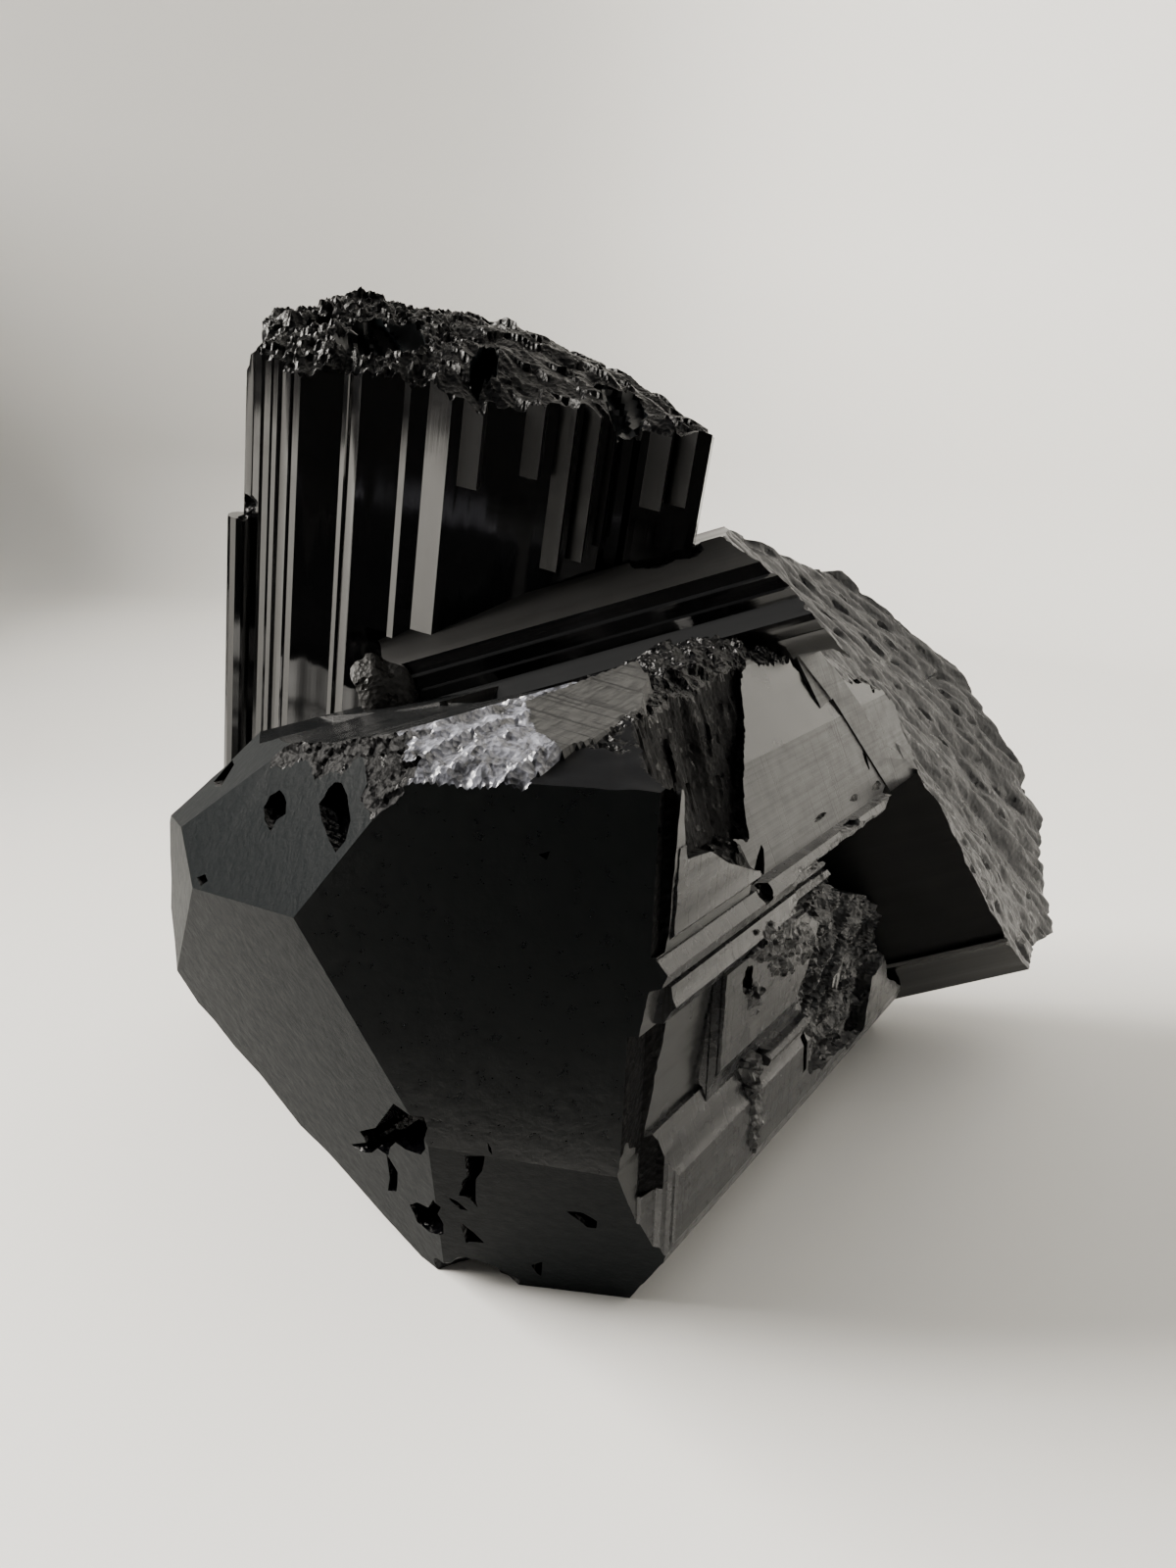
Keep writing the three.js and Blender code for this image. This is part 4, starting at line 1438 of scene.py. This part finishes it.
@dataclass
class LeaningCrystal:
    """The crystal behind, which rises to the right and ends in a scaly break."""

    heading: float = -4.3
    rise: float = 18.0
    start: float = -17.0
    end: float = 60.0
    axes: Axes = field(init=False)

    def __post_init__(self) -> None:
        """Works out the crystal's directions from its heading and rise."""
        along = turned(turned(np.array([1.0, 0, 0]), [0, 1, 0], -self.rise), [0, 0, 1], self.heading)
        back = unit(np.cross([0, 0, 1], along))
        self.axes = Axes(back, np.cross(along, back), along)

    def build(self) -> bpy.types.Object:
        """Joins the prism and cuts its breaks.

        Returns:
            The finished object.
        """
        grown = PrismFace("schorl_leaning_sides", self.axes, roughness=0.12, bump=0.25).material()
        broke = BrokenFace("schorl_leaning_breaks").material()
        scaly = BrokenFace(
            "schorl_scaly_end", "#1d1e21", roughness=0.36, mirrors=0.06, bump=0.25,
        ).material()
        lying = LyingCrystal()
        level = PlateFace(
            "schorl_cleaved_flat", lying.axes, "#2f3031", roughness=0.34, sheen=0.27,
        ).material()
        crust = BrokenFace("schorl_root_crust", "#151413", sheen=0.2).material()
        # The brow facet's warm grey-brown colour is painted reflection: it stands in for the dim warm
        # light this facet mirrors. Its satin roughness is real.
        satin = PrismFace("schorl_brow_painted_reflection", self.axes, "#171615", roughness=0.42, sheen=0.22).material()
        dull = PrismFace("schorl_worn_side", self.axes, roughness=0.42, sheen=0.12).material()
        corners = [
            (10.6, -2.6, 2), (6.9, 2.8, 3), (2.4, 20.7, 2), (-1, 32.7, 2), (-4.6, 40.3, 1),
            (-4.7, 40.9, 1), (-3.5, 42.3, 1), (-3.9, 43.2, 1), (-3.6, 43.4, 1), (-3.75, 44.5, 1),
            (-3.35, 44.75, 1), (-3.3, 46, 1), (-0.3, 48.5, 3), (13.5, 48.1, 4), (23.8, 39.5, 4),
            (27.2, 25.8, 5), (25.5, 7, 3), (18.7, -3.3, 2),
        ]
        a = self.axes
        outline = fluted(corners[::-1], 0.7, 31)
        body = prism("leaning_crystal", a, outline, self.start, self.end, grown, 400)
        brow = np.array([(-3.9, 45.35), (0.3, 48.85), (-4.2, 49.5)])
        worn = np.array([(-0.65, 32.6), (2.8, 20.6), (7.35, 3.2), (-9, 3.2), (-9, 32.6)])
        body.change(
            Cut.ADD,
            ball("root_lump", a, (-3.4, 43.2, -13.4), (3.2, 4.2, 3.6), 133, crust, 30, 0.12),
            lying.seam(level),
        )
        body.change(
            Cut.TAKE,
            prism("worn_side", a, worn, -30, 70, dull, 420),
            prism("brow", a, brow, -30, 70, satin, 424),
            self.end_break(scaly),
            lying.flat(level),
            ball("niche", a, (0.5, 48.6, 13.6), (3.4, 1.4, 3.4), 130, broke),
            ball("root_chip", a, (-2, 46.5, -14.6), (3.6, 3, 2.4), 131, broke),
            self.root_break(broke),
            underside_break(broke),
            beyond("floor", Axes(WORLD.u, -WORLD.v, -WORLD.w), 0, 0, (0, 0, 0), grown),
        )
        return finished(body)

    def end_break(self, finish: Finish) -> Solid:
        """Makes the scaly break across the right end.

        It bulges at the back and is drawn in at the top: a second-degree surface in u and v, plus
        noise and overlapping scales that are drawn out along v.

        Args:
            finish: the break's material.

        Returns:
            The cutting solid.
        """
        u, v = plot((-12, 34, 0.15), (-10, 56, 0.27))
        x, y = u - 10, v - 20
        across, along = u + 0.22 * v, 0.3 * v
        height = 31.7 + 0.245 * x - 0.35 * y + 0.021 * x * x - 0.003 * x * y - 0.0043 * y * y
        height += 0.5 * rough(across, along, 2.8, 40)
        height += 0.4 * scales(across, along, 1.0, 44, 0.9)
        height += 0.2 * scales(across, along, 0.5, 48, 0.9) - 0.35
        height -= 1.4 * np.maximum(0, noise(across / 0.8, along / 0.55, 52) - 0.5)
        return broken("end_break", self.axes, u, v, height, finish)

    def root_break(self, finish: Finish) -> Solid:
        """Makes the break of the left end, behind the upright crystal: a plane with scales.

        Args:
            finish: the break's material.

        Returns:
            The cutting solid.
        """
        a = self.axes
        x, y = plot((-36, 14, 0.5), (-14, 58, 0.5))
        height = 14 - 0.03 * np.maximum(0, 12 - x) + 0.9 * rough(x, y, 6, 30)
        height += 0.5 * scales(x, y, 1.8, 34)
        return broken("root_break", Axes(-a.u, a.v, -a.w), x, y, height, finish)


@dataclass
class UprightCrystal:
    """The crystal at the back left, with a black fluted front and a broken top."""

    lean: Triple = (0.117, -0.135, 0.984)
    start: float = -12.0
    end: float = 74.0
    axes: Axes = field(init=False)

    def __post_init__(self) -> None:
        """Works out the crystal's directions from its lean."""
        along = unit(self.lean)
        back = unit(np.cross(along, [1, 0, 0]))
        self.axes = Axes(np.cross(back, along), back, along)

    def build(self) -> bpy.types.Object:
        """Joins the prism and cuts its breaks.

        Returns:
            The finished object.
        """
        grown = PrismFace("schorl_upright_sides", self.axes, roughness=0.07, bump=0.15).material()
        broke = BrokenFace("schorl_upright_breaks", "#030304", roughness=0.3, sheen=0.06).material()
        satin = PrismFace("schorl_upright_steps", self.axes, roughness=0.3, sheen=0.13).material()
        dark = PyramidFace("schorl_cavities", roughness=0.3, sheen=0.2).material()
        a = self.axes
        outline = fluted(self.corners(), 0.7, 51)
        body = prism("upright_crystal", a, outline, self.start, self.end, grown, 500)
        turn = np.linspace(0, 2 * math.pi, 12, endpoint=False)
        rib = np.stack([-44.3 + 1.0 * np.cos(turn), 9.4 + 1.3 * np.sin(turn)], -1)
        body.change(Cut.ADD, prism("rib", a, rib, self.start, 46.6, grown, 520), *self.steps(satin))
        body.change(
            Cut.TAKE,
            self.top_break(broke),
            ball("cavity", a, (-34.0, 12.2, 62.0), (3.4, 2.8, 3.2), 140, dark, 26, 0.45),
            ball("hollow", a, (-39.0, 14.5, 62.4), (1.4, 1.6, 1.6), 145, dark, 14, 0.4),
            ball("cleft", a, (-24.8, 10.6, 61.6), (1.0, 3.6, 3.6), 141, dark, 16, 0.4),
            ball("dip", a, (-13.2, 10.6, 60.6), (2.3, 3.2, 3.0), 142, dark, 18, 0.4),
            ball("edge_chip", a, (-44.2, 8.8, 47.6), (1.5, 2, 1.1), 143, broke),
            ball("corner_chip", a, (-45.6, 11, 61.5), (2.6, 5, 4.5), 144, broke),
            underside_break(broke),
            beyond("floor", Axes(WORLD.u, -WORLD.v, -WORLD.w), 0, 0, (0, 0, 0), grown),
        )
        return finished(body)

    def corners(self) -> list[tuple[float, float, int]]:
        """Gives the outline: black fronts with narrow steps between them, and flutes behind.

        Returns:
            The (u, v, flutes) corners. Each step faces the left, where it mirrors the pale floor.
        """
        front = [
            (-44.2, 10.2), (-43.7, 9.95), (-43.4, 9.9), (-43.3, 9.4), (-42.7, 9.1), (-42.35, 9.1),
            (-42.25, 8.5), (-41.7, 8.25), (-41.5, 8.3), (-41.4, 7.9), (-41.0, 7.7), (-40.6, 7.7),
            (-40.5, 7.15), (-39.8, 6.8), (-39.6, 6.9), (-39.45, 6.6), (-38.9, 6.3), (-35.6, 7.1),
            (-35.2, 6.85), (-34.95, 7.05), (-34.1, 6.5), (-30.75, 7.2), (-30.2, 6.85),
            (-28.75, 7.2), (-26.75, 5.95), (-25.9, 6.1), (-18.6, 7.2), (-13.5, 7.6), (-12.9, 9.8),
            (-11.8, 9.6), (-11.3, 7.5), (-5.6, 7.3),
        ]
        rest = [
            (-5.25, 8.9, 9), (-6, 22, 10), (-18, 33, 10), (-34, 32, 10), (-44, 20, 6), (-44.6, 11.6, 1),
        ]
        return [(u, v, 1) for u, v in front] + rest

    def steps(self, finish: Finish) -> list[Solid]:
        """Makes the steps of the front that end part of the way down.

        Args:
            finish: the steps' material.

        Returns:
            Wedges along w, each with one face turned to the left.
        """
        places = [
            (-25.9, -24.1, 0.9, 52.4), (-20.9, -19.3, 0.8, 53.8), (-18.3, -16.8, 0.9, 46.3),
            (-16.3, -14.8, 0.9, 47.4), (-14.1, -13.4, 0.4, 48.8), (-10.7, -8.9, 1.0, 52.6),
            (-8.7, -6.9, 1.0, 53.2),
        ]
        made = []
        for i, (left, right, rise, low) in enumerate(places):
            v = float(np.interp(left, [-25.9, -18.6, -13.5, -6.2], [6.1, 7.2, 7.6, 7.3]))
            wedge = [
                (left, v + 0.05), (right, v + 0.05 - rise), (right + 0.2, v + 0.3),
                (right, v + 2), (left + 0.1, v + 2),
            ]
            made.append(prism(f"step_{i}", self.axes, wedge, low, self.end, finish, 530 + i))
        return made

    def top_break(self, finish: Finish) -> Solid:
        """Makes the broken top: a dome in v, highest left of its middle in u, with hackly chips.

        Args:
            finish: the break's material.

        Returns:
            The cutting solid.
        """
        u, v = plot((-49, -1, 0.2), (3, 38, 0.22))
        crest = 5.7 - 0.0095 * (u + 32) ** 2
        height = 58.9 + crest * np.sin(math.pi * (v - 5) / 32) + 0.5 * rough(u, v, 3, 60)
        height -= 0.1 * np.maximum(0, -38 - u)
        share = np.clip((u + 29 + rough(u, v, 3, 61)) / 3, 0, 1)
        along, across = 0.3 * (0.8 * u - 0.6 * v), 0.6 * u + 0.8 * v
        hackly = 0.45 * chips(u, v, 0.95, 64, 0.9) + 0.25 * chips(u, v, 0.5, 68, 0.9)
        streaky = 0.55 * chips(along, across, 1.0, 75, 0.7) + 0.2 * scales(along, across, 0.5, 78)
        height += (1 - share) * hackly + share * streaky
        return broken("top_break", self.axes, u, v, height, finish)


@dataclass
class Studio:
    """The pale sweep, the black cards, the soft light, the room and the camera, in metres."""

    camera_at: Triple = (-0.00803, -0.10104, 0.06)
    pitch: float = 16.7
    roll: float = 1.55
    lens: float = 27.045
    sensor: float = 36.0
    clip: tuple[float, float] = (0.005, 20.0)
    wall_at: float = 0.36
    bend_at: float = 0.02
    bend_radius: float = 0.03
    bend_slope: float = 0.78
    cove: float = 0.05
    middle: Triple = (0.0, 0.0, 0.03)
    window_at: Triple = (-1.6, 0.34, 0.85)
    window_size: tuple[float, float] = (1.2, 1.0)
    window_watts: float = 200.0
    window_colour: str = "#fffaf2"
    room_strength: float = 0.6

    def camera(self) -> bpy.types.Object:
        """Places the camera: it looks along +Y, pitched down and rolled slightly.

        Returns:
            The camera object.
        """
        t, r = math.radians(self.pitch), math.radians(self.roll)
        right, up = np.array([1.0, 0, 0]), np.array([0, math.sin(t), math.cos(t)])
        side = math.cos(r) * right + math.sin(r) * up
        top = -math.sin(r) * right + math.cos(r) * up
        data = bpy.data.cameras.new("camera")
        data.lens = self.lens
        data.sensor_width = self.sensor
        data.clip_start, data.clip_end = self.clip
        obj = stand("camera", data, side, top, self.camera_at)
        bpy.context.scene.camera = obj
        return obj

    def sweep(self) -> bpy.types.Object:
        """Makes the pale floor, which curves up into a wall that bends forward at the right.

        The wall's distance falls as a smooth hinge in x. Across it the outline is a straight floor,
        a quarter circle and a straight wall.

        Returns:
            The sweep.
        """
        pale = plain("pale_sweep", "#e6e5e2", 0.7)
        x = np.concatenate([spread(-0.62, 1.2, 0.02), [1.6, 3]])
        turn = np.linspace(0, math.pi / 2, 13)
        back = np.concatenate([[-2.5, -0.5], -self.cove + self.cove * np.sin(turn), [0, 0]])
        high = np.concatenate([[0, 0], self.cove - self.cove * np.cos(turn), [0.6, 1.6]])
        hinge = (x - self.bend_at) / self.bend_radius
        wall = self.wall_at - self.bend_slope * self.bend_radius * np.logaddexp(0, hinge)
        y = np.where(back[None] > -0.4, wall[:, None] + back[None], back[None] - 0.6)
        grid = np.stack([np.broadcast_to(x[:, None], y.shape), y, np.broadcast_to(high, y.shape)], -1)
        faces = squares(*y.shape)
        sweep = solid("sweep", grid.reshape(-1, 3), faces.tolist(), pale).obj
        sweep.data.shade_smooth()
        return sweep

    def cards(self) -> None:
        """Sets black cards where the glossy faces would mirror the pale sweep or the light.

        One stands behind the camera, one lies in front of it on the sweep, out of the picture, and
        one stands at the left, under the light.
        """
        black = plain("black_card", "#0c0c0c")
        sheets = [
            ("flag", [
                (-0.16, -0.125, 0), (0.22, -0.125, 0), (0.22, -0.125, 0.22), (-0.16, -0.125, 0.22),
            ]),
            ("cloth", [
                (-0.08, -0.124, 0.0004), (0.1, -0.124, 0.0004), (0.1, -0.056, 0.0004),
                (-0.08, -0.056, 0.0004),
            ]),
            ("left_card", [
                (-0.36, 0.05, 0), (-0.36, 0.36, 0), (-0.36, 0.36, 0.18), (-0.36, 0.05, 0.18),
            ]),
        ]
        for name, corners in sheets:
            solid(name, np.array(corners), [[0, 1, 2, 3]], black).obj

    def window(self) -> bpy.types.Object:
        """Makes the soft rectangular light at the left, which faces the cluster.

        Returns:
            The light object.
        """
        data = bpy.data.lights.new("window_left", "AREA")
        data.shape = "RECTANGLE"
        data.size, data.size_y = self.window_size
        data.energy = self.window_watts
        data.color = linear(self.window_colour)[:3]
        back = unit(np.array(self.window_at) - np.array(self.middle))
        side = unit(np.cross([0, 0, 1], back))
        return stand("window_left", data, side, np.cross(back, side), self.window_at)

    def room(self) -> None:
        """Makes the surroundings: pale behind and above, and dark behind the camera.

        The level rises with half of the direction's Y and 0.6 of its Z, mapped to 0.02 to 0.95.
        """
        world = bpy.data.worlds.new("pale_room")
        bpy.context.scene.world = world
        world.use_nodes = True
        tree = world.node_tree
        way = node(tree, "TexCoord").outputs["Generated"]
        parts = node(tree, "SeparateXYZ", None, {0: way})
        half = node(tree, "Math", {"operation": "MULTIPLY_ADD"}, {
            0: parts.outputs["Y"], 1: 0.5, 2: 0.5,
        })
        lift = node(tree, "Math", {"operation": "MULTIPLY_ADD"}, {
            0: parts.outputs["Z"], 1: 0.6, 2: half.outputs[0],
        })
        level = node(tree, "MapRange", None, {
            "Value": lift.outputs[0], "From Min": 0.25, "From Max": 0.75, "To Min": 0.02,
            "To Max": 0.95,
        })
        back = tree.nodes["Background"]
        back.inputs["Strength"].default_value = self.room_strength
        tint = node(tree, "Mix", {"data_type": "RGBA", "blend_type": "MULTIPLY"}, {
            0: 1.0, 6: level.outputs[0], 7: linear("#fbfaf6"),
        })
        tree.links.new(tint.outputs[2], back.inputs["Color"])

    def build(self) -> None:
        """Makes the camera, the sweep, the cards, the light and the surroundings."""
        self.camera()
        self.sweep()
        self.cards()
        self.window()
        self.room()


def plain(name: str, colour: str, roughness: float = 0.9) -> Finish:
    """Makes a plain matt material of one colour for the studio.

    Args:
        name: the material's name.
        colour: its colour as sRGB hex.
        roughness: how matt it is.

    Returns:
        The material.
    """
    return begun(name, colour, roughness)[0]


def stand(
    name: str, data: bpy.types.ID, side: Array, top: Array, place: Triple,
) -> bpy.types.Object:
    """Puts a camera or a light into the scene, where it looks down its own -Z.

    Args:
        name: the object's name.
        data: the camera or the light.
        side: direction of the object's X.
        top: direction of the object's Y.
        place: where it stands, in metres.

    Returns:
        The object.
    """
    obj = bpy.data.objects.new(name, data)
    bpy.context.scene.collection.objects.link(obj)
    turn = np.eye(4)
    turn[:3, 0], turn[:3, 1], turn[:3, 2], turn[:3, 3] = side, top, np.cross(side, top), place
    obj.matrix_world = Matrix(turn.tolist())
    return obj


def main() -> None:
    """Builds the studio and the three crystals, and gives them to the frame."""
    logging.basicConfig(level=logging.INFO, format="%(name)s %(message)s")
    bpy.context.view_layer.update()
    Studio().build()
    for crystal in (LyingCrystal(), LeaningCrystal(), UprightCrystal()):
        piece = crystal.build()
        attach(piece, "root")
        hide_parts(NODE)
        LOG.info("%s is in place", piece.name)
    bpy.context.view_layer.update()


if __name__ == "__main__":
    main()
